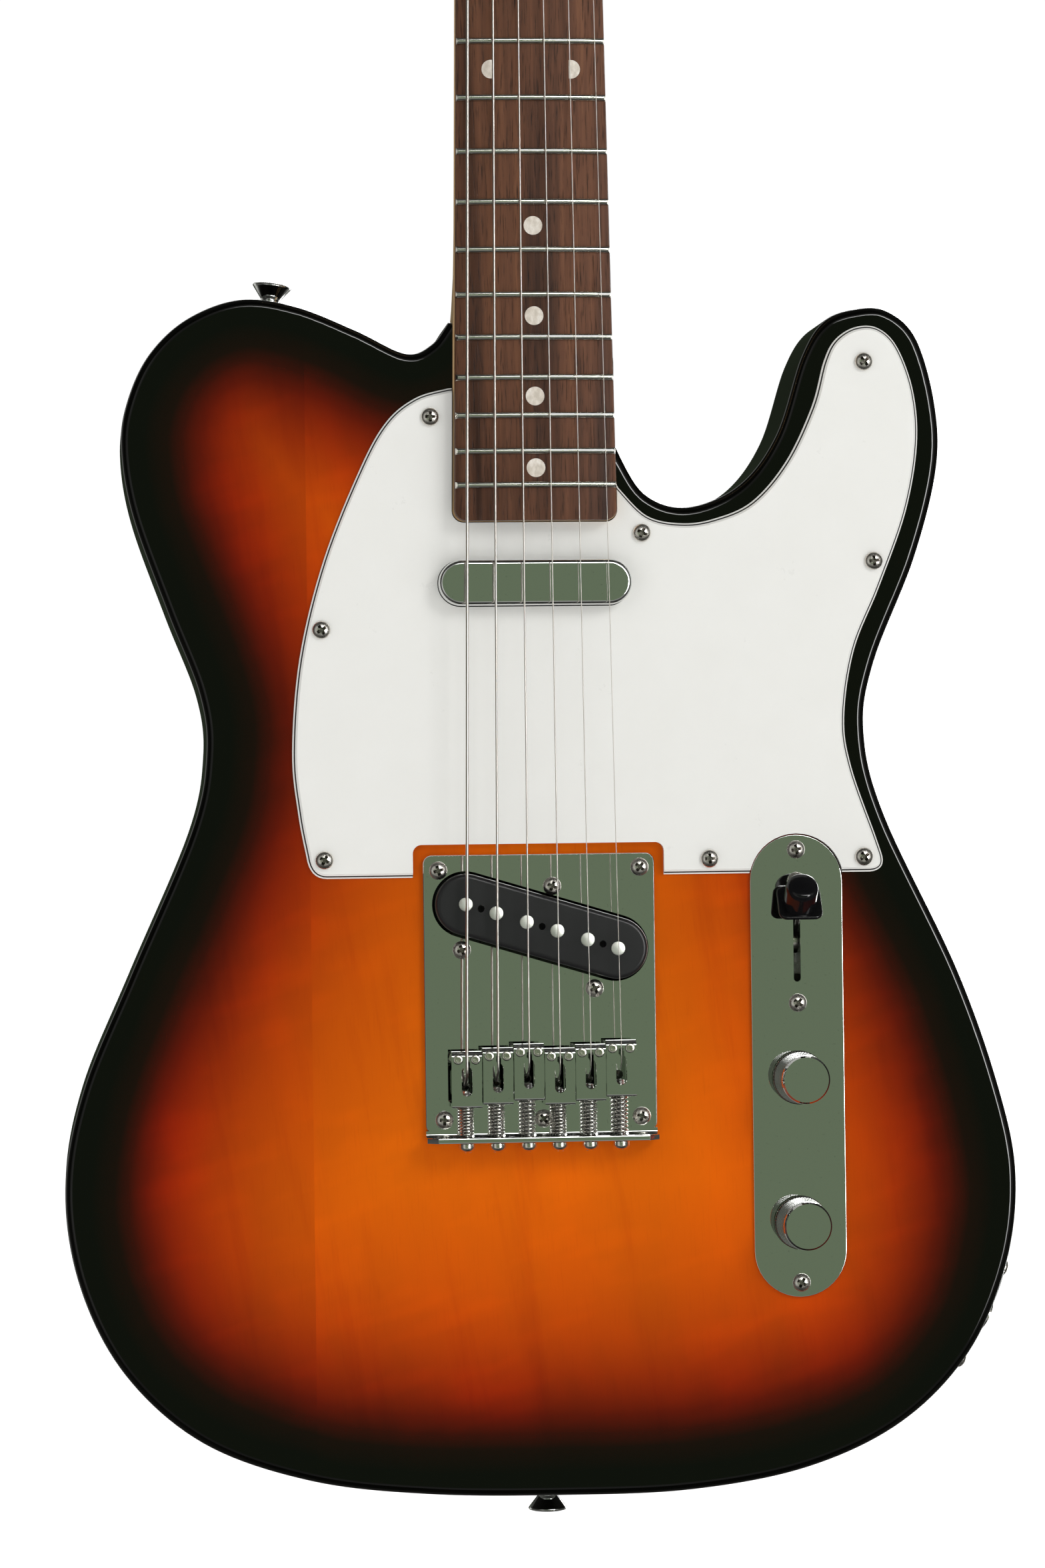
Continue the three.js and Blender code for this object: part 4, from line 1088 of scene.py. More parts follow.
def make_neck_pickup():
    cover = plate(stadium(*NECK_PICKUP_CENTRE, *NECK_COVER_SIZE), rounded_edge(-8.6, 12, 1.6, 6))
    piece("neck_pickup_cover", cover, CHROME, "chrome", replaces=["neck_pickup"], sharp=50)


def make_bridge_pickup():
    """A black bobbin of two flat flanges round a taped coil, with flush poles and three height screws."""
    rim = [(1.7, -8), (1.1, -7.92), (0.55, -7.65), (0.2, -7.2), (0.04, -6.6), (0, -5.9), (0, -5)]
    ports = [circle(*pickup_place(u, 0), 1.2, 20) for u in (-21.6, 0, 21.6)]
    flange = bridge_pickup_outline(74.5, 20.8)
    bobbin = merged(plate(flange, rim, ports), plate(flange, rounded_edge(8, 10.5, 0.4, 2)))
    piece("pickup_bobbin", bobbin, BLACK, "black_plastic", replaces=["bridge_pickup"])
    piece("pickup_coil", plate(bridge_pickup_outline(70, 16), [(0, -4.5), (0, 8.4)]), TAPE, "black_plastic")
    pole = [(0, -2), (2.38, -2), (2.38, 0.05), (2.3, 0.2), (2.1, 0.28), (0, 0.3)]
    for i in range(STRING_COUNT):
        x, z = pickup_place(along(i, 10.8), 0)
        piece(f"pole_{i + 1}", turned(pole, (x, -8, z), FRONT, 40), POLE_STEEL, "steel")
    places = [pickup_place(u, v) for u, v in PICKUP_SCREWS]
    front_screws("pickup_screw", places, -BRIDGE_THICKNESS, 20, 47)


def pickup_place(u, v):
    """A point (u along the bridge pickup, v across it) as (x, z)."""
    return turned_by(np.array([(u, v)]), BRIDGE_PICKUP_TILT, *BRIDGE_PICKUP_CENTRE)[0]


# ---------------------------------------------------------------- bridge

BRIDGE_SCREWS = [(-34.5, -585.7), (34.3, -585.3), (-33.4, -670.3), (0.4, -670.3), (34.0, -670.1)]


def make_bridge_plate():
    """A flat floor and an upturned rear wall with sloping ends, bored for the screws and the strings."""
    rear, wall_top, end_top = BRIDGE_REAR_Z, -11, -7.4
    string_holes = [circle(bridge_x(i), anchor_z(i), 1.6, 16) for i in range(STRING_COUNT)]
    floor_outline = rounded_rect(BRIDGE_LEFT, BRIDGE_RIGHT, rear + 3, BRIDGE_FRONT_Z, 3)
    edge = [(0.25, -BRIDGE_THICKNESS), (0, -BRIDGE_THICKNESS + 0.25), (0, 0)]
    floor = plate(floor_outline, edge, [bridge_pickup_outline(76, 22.6)] + string_holes)
    outer = flipped(arc(rear + 3, -3, 3, 90, 180, 8))
    inner = flipped(arc(rear + 3, -3, 1, 180, 90, 5))
    rings = []
    for x, top in ((BRIDGE_LEFT, end_top), (BRIDGE_LEFT + 3.6, wall_top),
                   (BRIDGE_RIGHT - 3.6, wall_top), (BRIDGE_RIGHT, end_top)):
        crest = [(top + 0.5, rear), (top + 0.15, rear + 0.15), (top, rear + 0.5), (top, rear + 1.5),
                 (top + 0.15, rear + 1.85), (top + 0.5, rear + 2)]
        section = [(0, rear + 4)] + outer + crest + inner + [(-2, rear + 4)]
        rings.append([(x, y, z) for y, z in section])
    steel = combine(floor, [loft(rings)], "UNION")
    bores = [rod(1.8, -3, 3, (bridge_x(i), INTONATION_SCREW_Y, rear + 1), sides=16)
             for i in range(STRING_COUNT)]
    steel = cut(steel, *bores)
    piece("bridge_plate_steel", steel, CHROME, "chrome", replaces=["bridge_plate"], bevel=0.15, sharp=30)
    front_screws("bridge_screw", BRIDGE_SCREWS, -BRIDGE_THICKNESS, 15, 37)


def saddle_profile(front, rear, top):
    """The bent strip's outline as (y, z): a rounded nose, a level top and a leg at the rear, all t thick."""
    t = 1.6
    nose = flipped(quadratic((front, top + 3), (front, top), (front - 2.2, top)))
    heel = flipped(quadratic((rear + 0.9, top + 0.4), (rear, top + 0.4), (rear, top + 1.3)))
    foot = [(-3.4, rear), (-3.4, rear + t)]
    under_heel = flipped(quadratic((rear + t, top + 2.4), (rear + t, top + 2), (rear + t + 0.4, top + 2)))
    under_nose = flipped(quadratic((front - 3, top + t), (front - t, top + t), (front - t, top + 3)))
    return nose + heel + foot + under_heel + under_nose


def make_saddle(i):
    """A bent steel saddle with a keyhole slot, two height screws, a spring and an intonation screw."""
    n = i + 1
    x, front, top = bridge_x(i), SADDLE_FRONT_Z[i], saddle_top_y(i)
    rear = front - SADDLE_LENGTH
    screw_z = front - 2.8
    strip = bar(saddle_profile(front, rear, top), x - SADDLE_HALF_WIDTH, x + SADDLE_HALF_WIDTH)
    through = [(0, top - 2), (0, top + 6)]
    narrow = plate(stadium(x, front - 6, 6.8, 2.2, upright=True), through)
    wide = plate(stadium(x, front - 10.2, 10, 3.65, upright=True), through)
    bore = rod(1.75, -3, 3, (x, INTONATION_SCREW_Y, rear + 0.8), sides=16)
    sides = {"left": -SADDLE_SCREW_SPREAD, "right": SADDLE_SCREW_SPREAD}
    screw_bores = [rod(1.7, -3, 3, (x + side, top + 1, screw_z), FRONT, 24) for side in sides.values()]
    strip = cut(strip, narrow, wide, bore, *screw_bores)
    body = f"saddle_{n}"
    piece(f"saddle_strip_{n}", strip, CHROME, "steel", body, [body], bevel=0.25, sharp=30)
    for word, side in sides.items():
        place = (x + side, top - 0.45, screw_z)
        turn = 17 * n + 3 * side
        screw(f"saddle_screw_{n}_{word}", SADDLE_SCREW, place, FRONT, turn, NICKEL, "steel", body)
    make_spring(i, rear)
    make_intonation_screw(i)


def make_spring(i, front):
    """A coil spring from the bridge's rear wall to a saddle, fixed in place."""
    n = i + 1
    coils, wire, radius = 9, 0.38, 2.2
    back = BRIDGE_REAR_Z + BRIDGE_THICKNESS + wire
    turn = np.linspace(0, 2 * math.pi * coils, 18 * coils + 1)
    z = np.linspace(back, front - wire, len(turn))
    x, y = bridge_x(i), INTONATION_SCREW_Y
    path = np.column_stack([x + radius * np.cos(turn), y + radius * np.sin(turn), z])
    spring = piece(f"spring_{n}", tube(path, wire, 8), SPRING_STEEL, "steel", body=None, sharp=60)
    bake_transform(spring)


def make_intonation_screw(i):
    n = i + 1
    x = bridge_x(i)
    body = f"intonation_screw_{n}"
    profile = threaded(1.5, BRIDGE_REAR_Z - 0.4, anchor_z(i) - 1.4)
    thread = turned(profile, (x, INTONATION_SCREW_Y, 0), sides=16)
    piece(f"intonation_thread_{n}", thread, STEEL, "nickel", body, [body], sharp=20)
    head = (x, INTONATION_SCREW_Y, BRIDGE_REAR_Z - 0.2)
    screw(f"intonation_head_{n}", INTONATION_HEAD, head, (0, 0, -1), 29 * n, NICKEL, "nickel", body)


# ---------------------------------------------------------------- controls


def make_control_plate():
    holes = [stadium(CONTROL_X, SWITCH_Z, 28, 2.4, upright=True)]
    holes += [circle(CONTROL_X, z, 4.9, 24) for z in KNOB_Z.values()]
    outline = control_outline(CONTROL_TOP_Z - CONTROL_BOTTOM_Z, 2 * CONTROL_HALF_WIDTH)
    surface = -CONTROL_THICKNESS
    steel = plate(outline, [(0.3, surface), (0.08, surface + 0.1), (0, surface + 0.35), (0, 0)], holes)
    piece("control_plate_steel", steel, CHROME, "chrome", replaces=["control_plate"], sharp=45)
    front_screws("plate_screw", [(CONTROL_X, z) for z in CONTROL_SCREW_Z], surface, 12, 50)
    front_screws("switch_screw", [(CONTROL_X, z) for z in SWITCH_SCREW_Z], surface, 35, 20)


def make_switch():
    """The lever and its tip, a round cap on a square brim, drawn straight out and leaned to the neck."""
    pivot = (CONTROL_X, SWITCH_PIVOT_Y, SWITCH_Z)
    lean = Matrix.Translation(Vector(pivot) * MM) @ Matrix.Rotation(-SWITCH_REST_TILT, 4, "X")
    across = (1, 0, 0)
    tip_foot = (0, -SWITCH_TIP_REACH, 0)
    blade = box((-0.7, 0.7), (-SWITCH_TIP_REACH - 7.5, 0), (-2, 2))
    lever = combine(rod(4.4, -1.4, 1.4, axis=across), [blade], "UNION")
    lever = cut(lever, rod(1.7, -3, 3, axis=across, sides=24))
    lever.transform(lean)
    piece("lever_blade", lever, NICKEL, "nickel", "selector_lever", ["switch_lever"], bevel=0.2)
    edge = [(0.5, -1.5), (0.12, -1.3), (0, -0.9), (0, -0.5), (0.25, -0.1), (0.6, 0)]
    brim = plate(rounded_rect(-7.5, 7.5, -7, 7, 2.8), edge)
    brim.transform(Matrix.Translation(Vector(tip_foot) * MM))
    crown = [(0, 0.6), (6.3, 0.6), (5.95, 1.6), (5.8, 2.4), (5.6, 8.4), (5.45, 9.5), (5.05, 10.3),
             (4.3, 10.8), (2.8, 11), (0, 11.05)]
    collar = [(0, 0.3), (5, 0.3), (4.5, -0.7), (3.5, -1.5), (2.6, -1.7), (0, -1.7)]
    parts = [turned(profile, tip_foot, FRONT, 48) for profile in (crown, collar)]
    hat = combine(parts[0], [brim, parts[1]], "UNION")
    hat = cut(hat, box((-1, 1), (-SWITCH_TIP_REACH - 7.9, -10), (-2.3, 2.3)))
    hat.transform(lean)
    piece("lever_tip", hat, GLOSS_BLACK, "black_plastic", "selector_lever", ["switch_tip"], sharp=60)


def knurl(turn, height, teeth=58, pitch=1.7):
    """How deep a diamond knurl is at a place on a barrel, from 0 on a peak to 1 in a groove."""
    around = turn * teeth / (2 * math.pi)
    phases = np.stack([around + height / pitch, around - height / pitch])
    return np.clip(1 - np.abs((phases % 1) - 0.5) / 0.32, 0, 1).max(0)


def make_knob(name):
    """A slightly tapered knurled barrel with a smooth skirt, and a polished top with a bevelled rim."""
    sides = 232
    turn = 2 * math.pi * np.arange(sides) / sides
    knurled = [(8.9 - 0.045 * (h - 1.5), h, 0.26) for h in np.arange(1.5, 15.31, 0.3)]
    rings = []
    for radius, height, depth in [(9, 0, 0), (9.15, 0.2, 0), (9.15, 1.1, 0)] + knurled + [(8.2, 15.5, 0)]:
        r = radius - depth * knurl(turn, height)
        rings.append(np.column_stack([r * np.cos(turn), r * np.sin(turn), np.full(sides, height)]))
    barrel = loft(rings)
    foot = (CONTROL_X, -2, KNOB_Z[name])
    barrel.transform(axis_matrix(foot, FRONT))
    body = f"{name}_control"
    piece(f"{name}_knob_barrel", barrel, KNURL_SHADE_CHROME, "chrome", body, [f"{name}_knob"], sharp=25)
    top = [(0, 15.3), (8.1, 15.3), (8.3, 15.5), (8.15, 16.3), (7.6, 17), (4, 17), (3.2, 16.9), (0, 16.9)]
    piece(f"{name}_knob_top", turned(top, foot, FRONT, 96), CHROME, "chrome", body, sharp=25)


# ---------------------------------------------------------------- output jack

RIM_REACH = 34


def rim_frame():
    """Places and outward normals along the rim near the jack, with the distance along it from the jack."""
    outline = without_repeats(body_outline())
    normal = outward_normals(outline)
    near = np.linalg.norm(outline - JACK_POINT, axis=1) < RIM_REACH
    outline, normal = outline[near], normal[near]
    run = np.concatenate([[0], np.cumsum(np.linalg.norm(np.diff(outline, axis=0), axis=1))])
    run -= run[np.linalg.norm(outline - JACK_POINT, axis=1).argmin()]
    return run, outline, normal


def on_rim(along_rim, y, out):
    """A point near the jack: along the rim from it, at a depth y, and out from the wood."""
    run, outline, normal = RIM
    x, z, nx, nz = (np.interp(along_rim, run, column) for column in (*outline.T, *normal.T))
    return x + nx * out, y, z + nz * out


def on_flat(along_rim, y, out):
    """The same on the flat plane that touches the rim at the jack."""
    lean = math.sin(JACK_DROOP), math.cos(JACK_DROOP)
    x = JACK_POINT[0] + along_rim * lean[0] + out * lean[1]
    return x, y, JACK_POINT[1] + along_rim * lean[1] - out * lean[0]


RIM = rim_frame()


def make_jack():
    """An oval plate whose underside follows the rim, two screws, and the jack's sleeve and nut."""
    steps = 72
    turn = 2 * math.pi * np.arange(steps) / steps
    top = JACK_PLATE_THICKNESS
    # Each ring: how far it has gone from the oval to the round hole, its size, and its height.
    stations = [(0, 1, 0.02), (0, 1, top - 0.4), (0, 0.985, top - 0.1), (0, 0.95, top), (0.3, 0.9, top),
                (0.6, 0.9, top), (1, 1, top), (1, 1, 0.02)]
    rings = []
    for towards_hole, size, out in stations:
        oval = np.stack([JACK_PLATE_HALF_LENGTH * np.cos(turn), JACK_PLATE_HALF_WIDTH * np.sin(turn)])
        hole = np.stack([JACK_HOLE_RADIUS * np.cos(turn), JACK_HOLE_RADIUS * np.sin(turn)])
        u, v = oval * size * (1 - towards_hole) + hole * towards_hole
        surface = on_flat if out > 1 else on_rim
        rings.append(np.array([surface(a, BODY_MID_Y + b, out) for a, b in zip(u, v)]))
    numbers = [list(range(k * steps, (k + 1) * steps)) for k in range(len(rings))]
    steel = weld(new_mesh("oval", np.vstack(rings), skin(numbers, closed=True)))
    piece("jack_oval", steel, CHROME, "chrome", replaces=["jack_plate"], sharp=40)
    for k, along_rim in enumerate((-JACK_SCREW_REACH, JACK_SCREW_REACH)):
        screw(f"jack_screw_{k + 1}", PAN_HEAD, on_flat(along_rim, BODY_MID_Y, top), JACK_OUT, 40 * k)
    shell = [(3.35, 3.7), (3.7, 3.9), (4.9, 3.9), (5.0, 3.6), (5.0, 2.5), (4.6, 2.5), (4.6, -3.4),
             (8.5, -3.4), (8.5, -6), (4.8, -6), (4.8, -22), (3.35, -22), (3.35, 3.7)]
    sleeve = turned(shell, JACK_CENTRE, JACK_OUT, 40)
    piece("jack_sleeve", sleeve, NICKEL, "nickel", replaces=["output_jack"], sharp=35)
    nut = cut(hex_rod(6.1, 3.2, top + 0.05), rod(5.02, 0, 6, sides=40))
    nut.transform(axis_matrix(JACK_CENTRE, JACK_OUT))
    piece("jack_nut", nut, CHROME, "chrome", bevel=0.3)


# ---------------------------------------------------------------- fittings on the rim and the back


def make_neck_plate():
    low, high = NECK_PLATE_Z
    surface = BODY_THICKNESS + NECK_PLATE_THICKNESS
    outline = rounded_rect(-NECK_PLATE_HALF_WIDTH, NECK_PLATE_HALF_WIDTH, low, high, 3)
    steel = plate(outline, [(0, BODY_THICKNESS), (0, surface - 0.4), (0.4, surface)])
    piece("neck_plate_steel", steel, CHROME, "chrome", replaces=["neck_plate"])
    bolts = [(x, z) for x in NECK_BOLT_X for z in (low + NECK_BOLT_INSET, high - NECK_BOLT_INSET)]
    for k, (x, z) in enumerate(bolts):
        screw(f"neck_bolt_{k + 1}", BOLT_HEAD, (x, surface, z), REAR, 33 * k)


def make_ferrules():
    """Pressed steel cups that hold the string ends at the back of the body."""
    cup = [(1.6, -9), (3.2, -9), (3.2, 0.02), (4.7, 0.02), (4.7, 0.3), (4.4, 0.6), (3, 0.6), (2.4, 0.1),
           (2.4, -4), (1.6, -4), (1.6, -9)]
    for i in range(STRING_COUNT):
        mesh = turned(cup, (bridge_x(i), BODY_THICKNESS, anchor_z(i)), REAR)
        piece(f"ferrule_{i + 1}", mesh, NICKEL, "nickel", sharp=35)


def make_strap_button(name, x, z, lean):
    """A waisted cup on the rim, leaning from straight up by an angle, with a screw in its top."""
    axis = (math.sin(lean), 0, math.cos(lean))
    cup = [(0, 0), (5.4, 0), (5.4, 0.5), (5, 0.75), (3.4, 0.9), (3.15, 1.3), (3.15, 1.8), (3.4, 2.3),
           (6.35, 6.1), (6.6, 6.5), (6.6, 6.8), (6.2, 7.2), (5.4, 7.4), (4.4, 7.2), (3.7, 6.4), (0, 6.2)]
    button = turned(cup, (x, BODY_MID_Y, z), axis, 48)
    piece(f"{name}_cup", button, CHROME, "chrome", replaces=[name], sharp=45)
    top = (x + 6.1 * axis[0], BODY_MID_Y, z + 6.1 * axis[2])
    screw(f"{name}_screw", BUTTON_HEAD, top, axis, 25)


# ---------------------------------------------------------------- tuners


def make_tuner(i):
    """A cast housing with a sleeve through the headstock, a post in it, and a worm shaft with its button."""
    n = i + 1
    x, z = tuner_place(i)
    frame_here = Matrix.Translation((x * MM, 0, z * MM)) @ Matrix.Rotation(TUNER_LINE_ANGLE, 4, "Y")
    back = HEADSTOCK_BACK_Y
    worm_y, worm_z = back + 5.4, -5.4
    ear_y, ear_z = back + 2.4, -13.2

    def along_worm(profile, sides=32):
        return turned(profile, (0, worm_y, worm_z), (-1, 0, 0), sides)

    def along_post(profile):
        return turned(profile, axis=REAR)

    def placed(name, mesh, **settings):
        mesh.transform(frame_here)
        piece(f"{name}_{n}", mesh, CHROME, "chrome", **settings)

    casing = plate(rounded_rect(-9, 7, -11, 7.5, 3), rounded_edge(back, back + 10.5, 1.4, 5))
    snout = along_worm([(2.3, 8.4), (3.9, 8.4), (3.9, 10.6), (3.6, 11), (3.6, 12.2), (3.3, 12.5), (2.3, 12.5),
                        (2.3, 8.4)])
    sleeve = along_post([(3.3, back + 1), (4.6, back + 1), (4.6, -1.4), (4.6, -3), (4.3, -3.3), (3.5, -3.3),
                         (3.3, -3.1), (3.3, back + 1)])
    washer = along_post([(4.65, -1.52), (6.9, -1.52), (6.9, -2.0), (6.6, -2.2), (4.65, -2.2), (4.65, -1.52)])
    bush = loft([[(px, y, pz) for px, pz in circle(0, 0, 6.2, 6)] for y in (-3.0, -2.2)])
    bush = cut(bush, rod(4.65, -5, 0, axis=REAR))
    housing = merged(casing, snout, sleeve, washer, bush)
    placed("tuner_casing", housing, replaces=[f"tuner_housing_{n}"], bevel=0.12, sharp=50)
    placed("tuner_ear", plate(stadium(0, ear_z, 7, 5.2), [(0.3, ear_y), (0, back + 2.1), (0, back)]))
    ear_top = frame_here @ (Vector((0, ear_y, ear_z)) * MM) / MM
    screw(f"tuner_screw_{n}", SMALL_PAN_HEAD, ear_top, REAR, 41 * n)

    post = along_post([(0, -13), (2.6, -13), (3, -12.6), (3, -11.4), (2.7, -10.8), (2.7, -5), (3, -4.2),
                       (3, back + 7.9), (0, back + 7.9)])
    post = cut(post, rod(0.85, -6, 6, (0, POST_EYE_Y, 0), (1, 0, 0), 16))
    placed("post", post, body=f"tuner_post_{n}", replaces=[f"tuner_post_{n}"], sharp=35)

    shaft = along_worm([(0, -3.3), (2, -3.3), (2, 13), (2.4, 13.6), (2.4, 14.8), (3, 15.4), (3, 18),
                        (0, 18)], 24)
    grip = plate(stadium(-24.3, worm_z, 21, 13.6, upright=True, steps=28),
                 rounded_edge(worm_y - 4.2, worm_y + 4.2, 2.4, 8))
    body = f"tuner_button_{n}"
    placed("button", merged(shaft, grip), body=body, replaces=[body], sharp=50)


def make_string_tree():
    """A folded wing on a short post that presses the two thinnest strings down."""
    x = (nut_x(4) + nut_x(5)) / 2
    upper, lower = -8.2, -7.5
    half_section = [(-6, 0.9), (-5, 0.1), (-1.5, 0), (1.5, 0), (5, 0.1), (6, 0.9)]
    section = [(x + px, lower + rise) for px, rise in half_section]
    section += [(x + px, upper + rise) for px, rise in reversed(half_section)]
    wing = loft([[(px, y, TREE_Z + side * 1.8) for px, y in section] for side in (-1, 1)])
    piece("tree_wing", wing, CHROME, "chrome", replaces=["string_tree"], bevel=0.2)
    piece("tree_post", rod(2.2, HEADSTOCK_FACE_Y, lower, (x, 0, TREE_Z), REAR, 24), NICKEL, "nickel")
    screw("tree_screw", SMALL_PAN_HEAD, (x, upper, TREE_Z), FRONT, 50)


# ---------------------------------------------------------------- strings


def rounded_path(points, reach, steps=5):
    """The route through the points with each corner rounded, starting up to a reach before it."""
    points = [np.array(p, float) for p in points]
    path = [points[0]]
    for before, corner, after in zip(points, points[1:], points[2:]):
        back, ahead = before - corner, after - corner
        start = corner + back * min(reach / np.linalg.norm(back), 0.45)
        end = corner + ahead * min(reach / np.linalg.norm(ahead), 0.45)
        path.extend(quadratic(start, corner, end, steps))
    return np.array(path + [points[-1]])


def evenly(path, step):
    """The path with points at an even step along it."""
    run = np.concatenate([[0], np.cumsum(np.linalg.norm(np.diff(path, axis=0), axis=1))])
    places = np.linspace(0, run[-1], int(run[-1] / step) + 1)
    return np.column_stack([np.interp(places, run, column) for column in path.T])


def winding_on_post(i):
    """Turns of string on a tuner post, from where the string meets it to the post's eye."""
    radius = STRING_RADII[i]
    x, z = tuner_place(i)
    pitch = 2.1 * radius
    turns = math.floor(min(5.25, 2.6 / pitch)) + 0.25
    angle = np.linspace(0, 2 * math.pi * turns, int(28 * turns))
    reach = np.maximum(3 + radius + 0.02, POST_STRING_REACH - angle * 0.5)
    y = POST_STRING_Y - angle / (2 * math.pi) * pitch
    coil = np.column_stack([x + reach * np.cos(angle), y, z + reach * np.sin(angle)])
    return np.vstack([coil, [(x - 2.0, POST_EYE_Y, z + 0.6), (x, POST_EYE_Y, z)]])


def string_route(i):
    """From the ferrule through the body, over the saddle and the nut, and under the tree to the post."""
    radius = STRING_RADII[i]
    bx, nx = bridge_x(i), nut_x(i)
    anchor, crest = anchor_z(i), crest_z(i)
    post_z = tuner_place(i)[1]
    crest_y = saddle_top_y(i) - radius - 0.05
    route = [(bx, BODY_THICKNESS - 4, anchor), (bx, 0, anchor), (bx, -4, anchor + 0.6),
             (bx, crest_y + 1.4, crest - 5 - 1.3), (bx, crest_y, crest - 5), (bx, crest_y, crest + 0.5),
             (nx, NUT_STRING_Y, 0), (nx, NUT_STRING_Y, 3.4)]
    if i >= STRING_COUNT - 2:
        route += [(nx, POST_STRING_Y + radius, TREE_Z - 2), (nx, POST_STRING_Y + radius, TREE_Z + 2)]
    route += [(nx, POST_STRING_Y, post_z - 3), (nx, POST_STRING_Y, post_z)]
    return rounded_path(route, 2.5)


def make_string(i):
    """A plain steel wire, or a core with a round winding drawn as close ridges."""
    radius = STRING_RADII[i]
    path = np.vstack([string_route(i)[:-1], winding_on_post(i)])
    if i < WOUND_STRINGS:
        pitch = 0.75 * radius
        path = evenly(path, pitch / 2)
        radii = np.where(np.arange(len(path)) % 2, radius, 0.84 * radius)
        mesh = tube(path, radii, 8)
    else:
        mesh = tube(path, radius, 10)
    piece(f"wire_{i + 1}", mesh, STRING_METAL, "string_wire", replaces=[f"string_{i + 1}"], sharp=80)


# ---------------------------------------------------------------- CAD pieces that stay


def finish_cad_nodes():
    """Gives the hidden working parts that keep their CAD shapes a detailed steel finish."""
    for name in ("selector_switch", "volume_pot", "tone_pot", "volume_shaft", "tone_shaft"):
        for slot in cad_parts[name].material_slots:
            slot.material = STEEL


# ---------------------------------------------------------------- stage, light and camera


def make_stage():
    corners = [(x * FLOOR_REACH, y * FLOOR_REACH, FLOOR_Z) for x, y in ((-1, -1), (1, -1), (1, 1), (-1, 1))]
    floor = bpy.data.objects.new("floor", new_mesh("floor", corners, [(0, 1, 2, 3)]))
    bpy.context.scene.collection.objects.link(floor)
    pale = Finish("pale_floor", Base_Color=(0.93, 0.93, 0.93), Roughness=0.9, Emission_Color=(1.0, 1.0, 1.0),
                  Emission_Strength=0.6)
    floor.data.materials.append(pale.material)
    floor.visible_glossy = False


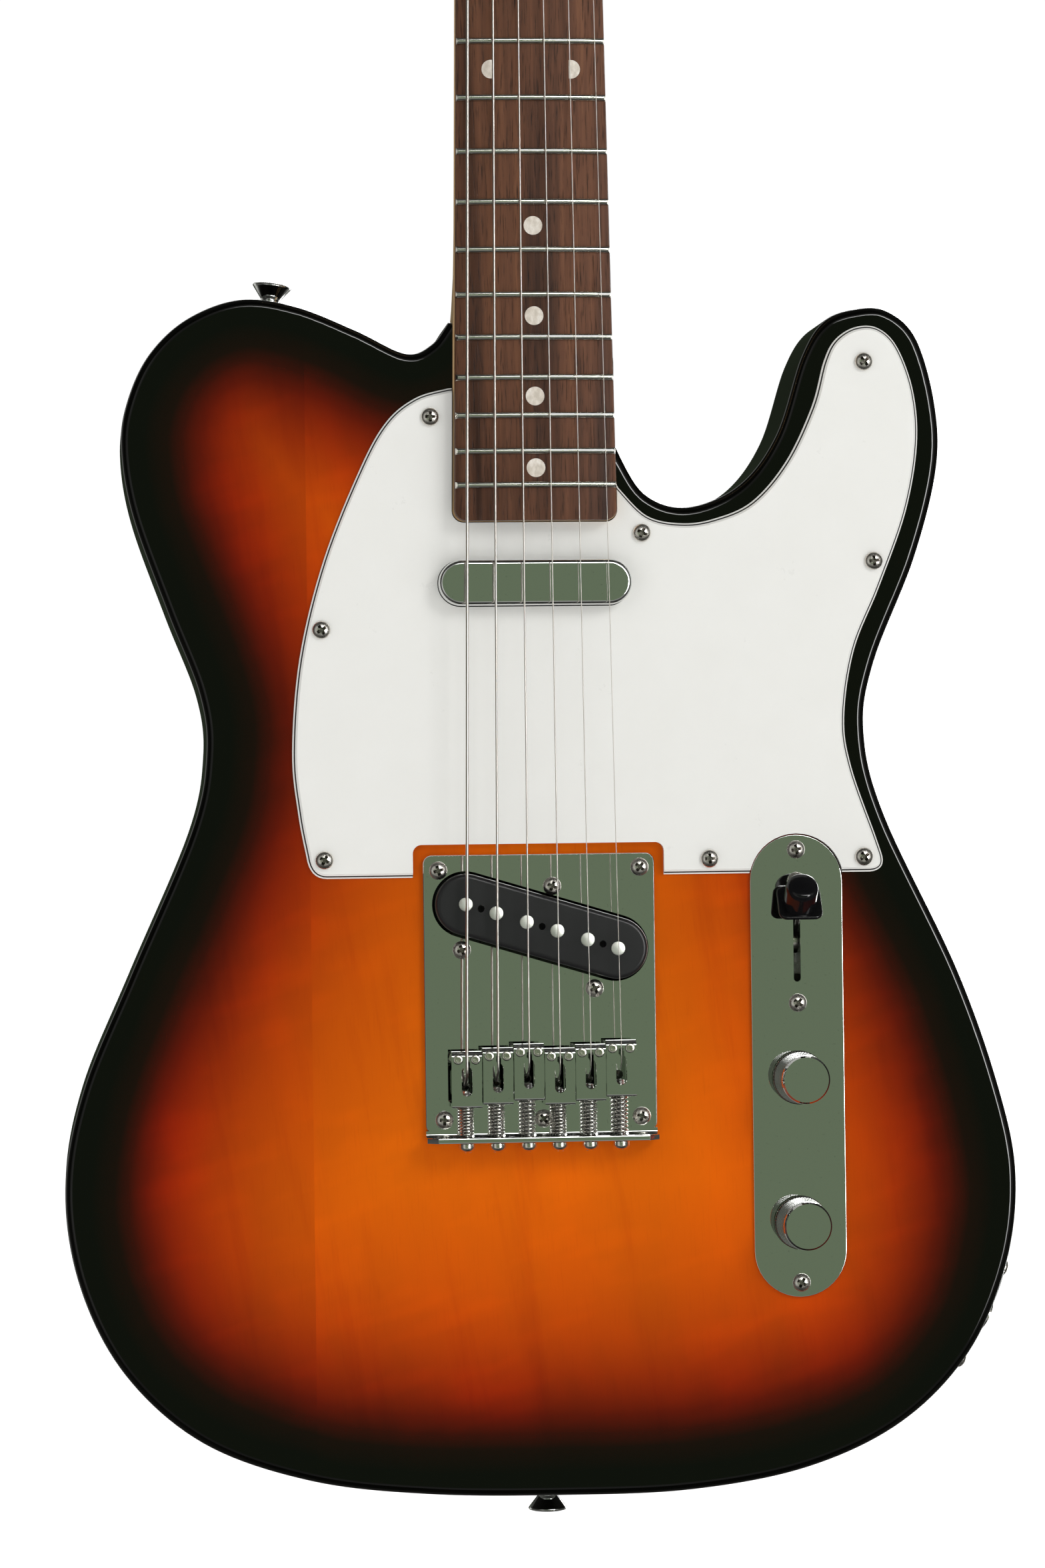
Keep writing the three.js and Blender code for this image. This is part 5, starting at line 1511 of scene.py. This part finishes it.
def make_world():
    """A white surround, which polished surfaces see as a room.

    The room is dim green-grey straight in front of the guitar, and darker straight behind it. Uneven soft
    panels surround that, with a bright arc of lamp at the upper right, and beyond them it is nearly black.
    """
    world = bpy.data.worlds.new("studio")
    bpy.context.scene.world = world
    world.use_nodes = True
    n = Nodes(world.node_tree)
    direction = n.add("ShaderNodeTexCoord").outputs["Generated"]
    reach = n.vector("LENGTH", n.vector("MULTIPLY", direction, (2.0, 0.0, 2.7)), output="Value")
    dim, panel, dark = (0.146, 0.188, 0.12), (0.46, 0.46, 0.44), (0.07, 0.07, 0.065)
    colours = n.ramp(n.math("MULTIPLY", reach, 0.3), (0.0, dim), (0.25, dim), (0.36, panel), (0.48, panel),
                     (0.56, dark), (0.8, dark))
    bright = n.map_range(n.noise(1.1, direction, detail=1.0), 0.4, 0.62, 0.55, 1.5)
    behind = n.math("GREATER_THAN", n.axis("Y", direction), 0.0)
    lit = n.math("SUBTRACT", 1.0, n.math("MULTIPLY", behind, n.map_range(reach, 1.2, 0.8, 0.0, 0.86)))
    outside = n.map_range(reach, 0.8, 1.2, 0.0, 1.0)
    gain = n.add("ShaderNodeMix", {0: outside, 2: lit, 3: n.math("MULTIPLY", bright, lit)}).outputs[0]
    walls = n.add("ShaderNodeVectorMath", {0: colours, "Scale": gain}, operation="SCALE").outputs[0]
    towards_lamp = n.vector("DOT_PRODUCT", direction, (0.8, 0.0, 0.6), output="Value")
    in_ring = n.math("COMPARE", reach, 1.13, 0.14)
    lamp = n.math("MULTIPLY", n.map_range(towards_lamp, 0.2, 0.42, 0.0, 15.0), in_ring)
    rays = n.add("ShaderNodeLightPath").outputs
    spread_light = n.mix(rays["Is Camera Ray"], (0.5, 0.5, 0.5), (1.05, 1.05, 1.05))
    seen = n.mix(rays["Is Glossy Ray"], spread_light, n.vector("ADD", walls, lamp))
    n.tree.links.new(seen, n.tree.nodes["Background"].inputs["Color"])


def area_light(name, place, size, power):
    """A soft square lamp that faces the body, with its place and size in metres and its power in watts."""
    target = (0, 0, -0.5)
    data = bpy.data.lights.new(name, "AREA")
    data.size, data.energy = size, power
    lamp = bpy.data.objects.new(name, data)
    lamp.location = place
    lamp.visible_glossy = False
    lamp.rotation_euler = (Vector(target) - Vector(place)).to_track_quat("-Z", "Y").to_euler()
    bpy.context.scene.collection.objects.link(lamp)


def make_camera():
    """The viewpoint: a little to the low E side, looking almost level at the body between the pickups."""
    place = Vector((-154.3, -1592.9, -573.1)) * MM
    aim = Vector((-5.1, 0, -556.6)) * MM
    roll = math.radians(-0.74)
    ahead = (aim - place).normalized()
    right = ahead.cross(Vector(UP)).normalized()
    up = right.cross(ahead)
    across = math.cos(roll) * right + math.sin(roll) * up
    upward = math.cos(roll) * up - math.sin(roll) * right
    data = bpy.data.cameras.new("camera")
    data.sensor_fit = "VERTICAL"
    data.sensor_height = 36
    data.lens = 107.92
    camera = bpy.data.objects.new("camera", data)
    camera.matrix_world = Matrix((across, upward, -ahead)).transposed().to_4x4()
    camera.location = place
    bpy.context.scene.collection.objects.link(camera)
    bpy.context.scene.camera = camera


# ---------------------------------------------------------------- assembly

make_camera()
make_body()
make_neck()
make_fretboard()
make_nut()
make_guard()
make_neck_pickup()
make_bridge_pickup()
make_bridge_plate()
make_control_plate()
make_switch()
for control in KNOB_Z:
    make_knob(control)
make_jack()
make_neck_plate()
make_ferrules()
for button, (foot_x, foot_z, lean) in STRAP_BUTTONS.items():
    make_strap_button(button, foot_x, foot_z, lean)
make_string_tree()
for string in range(STRING_COUNT):
    make_saddle(string)
    make_tuner(string)
    make_string(string)
finish_cad_nodes()
make_stage()
make_world()
bpy.context.scene.view_settings.view_transform = "Standard"
area_light("key", (1.5, -1.8, 0.8), size=0.9, power=20.5)
area_light("fill", (-1.8, -1.6, 0.0), size=1.4, power=6.3)
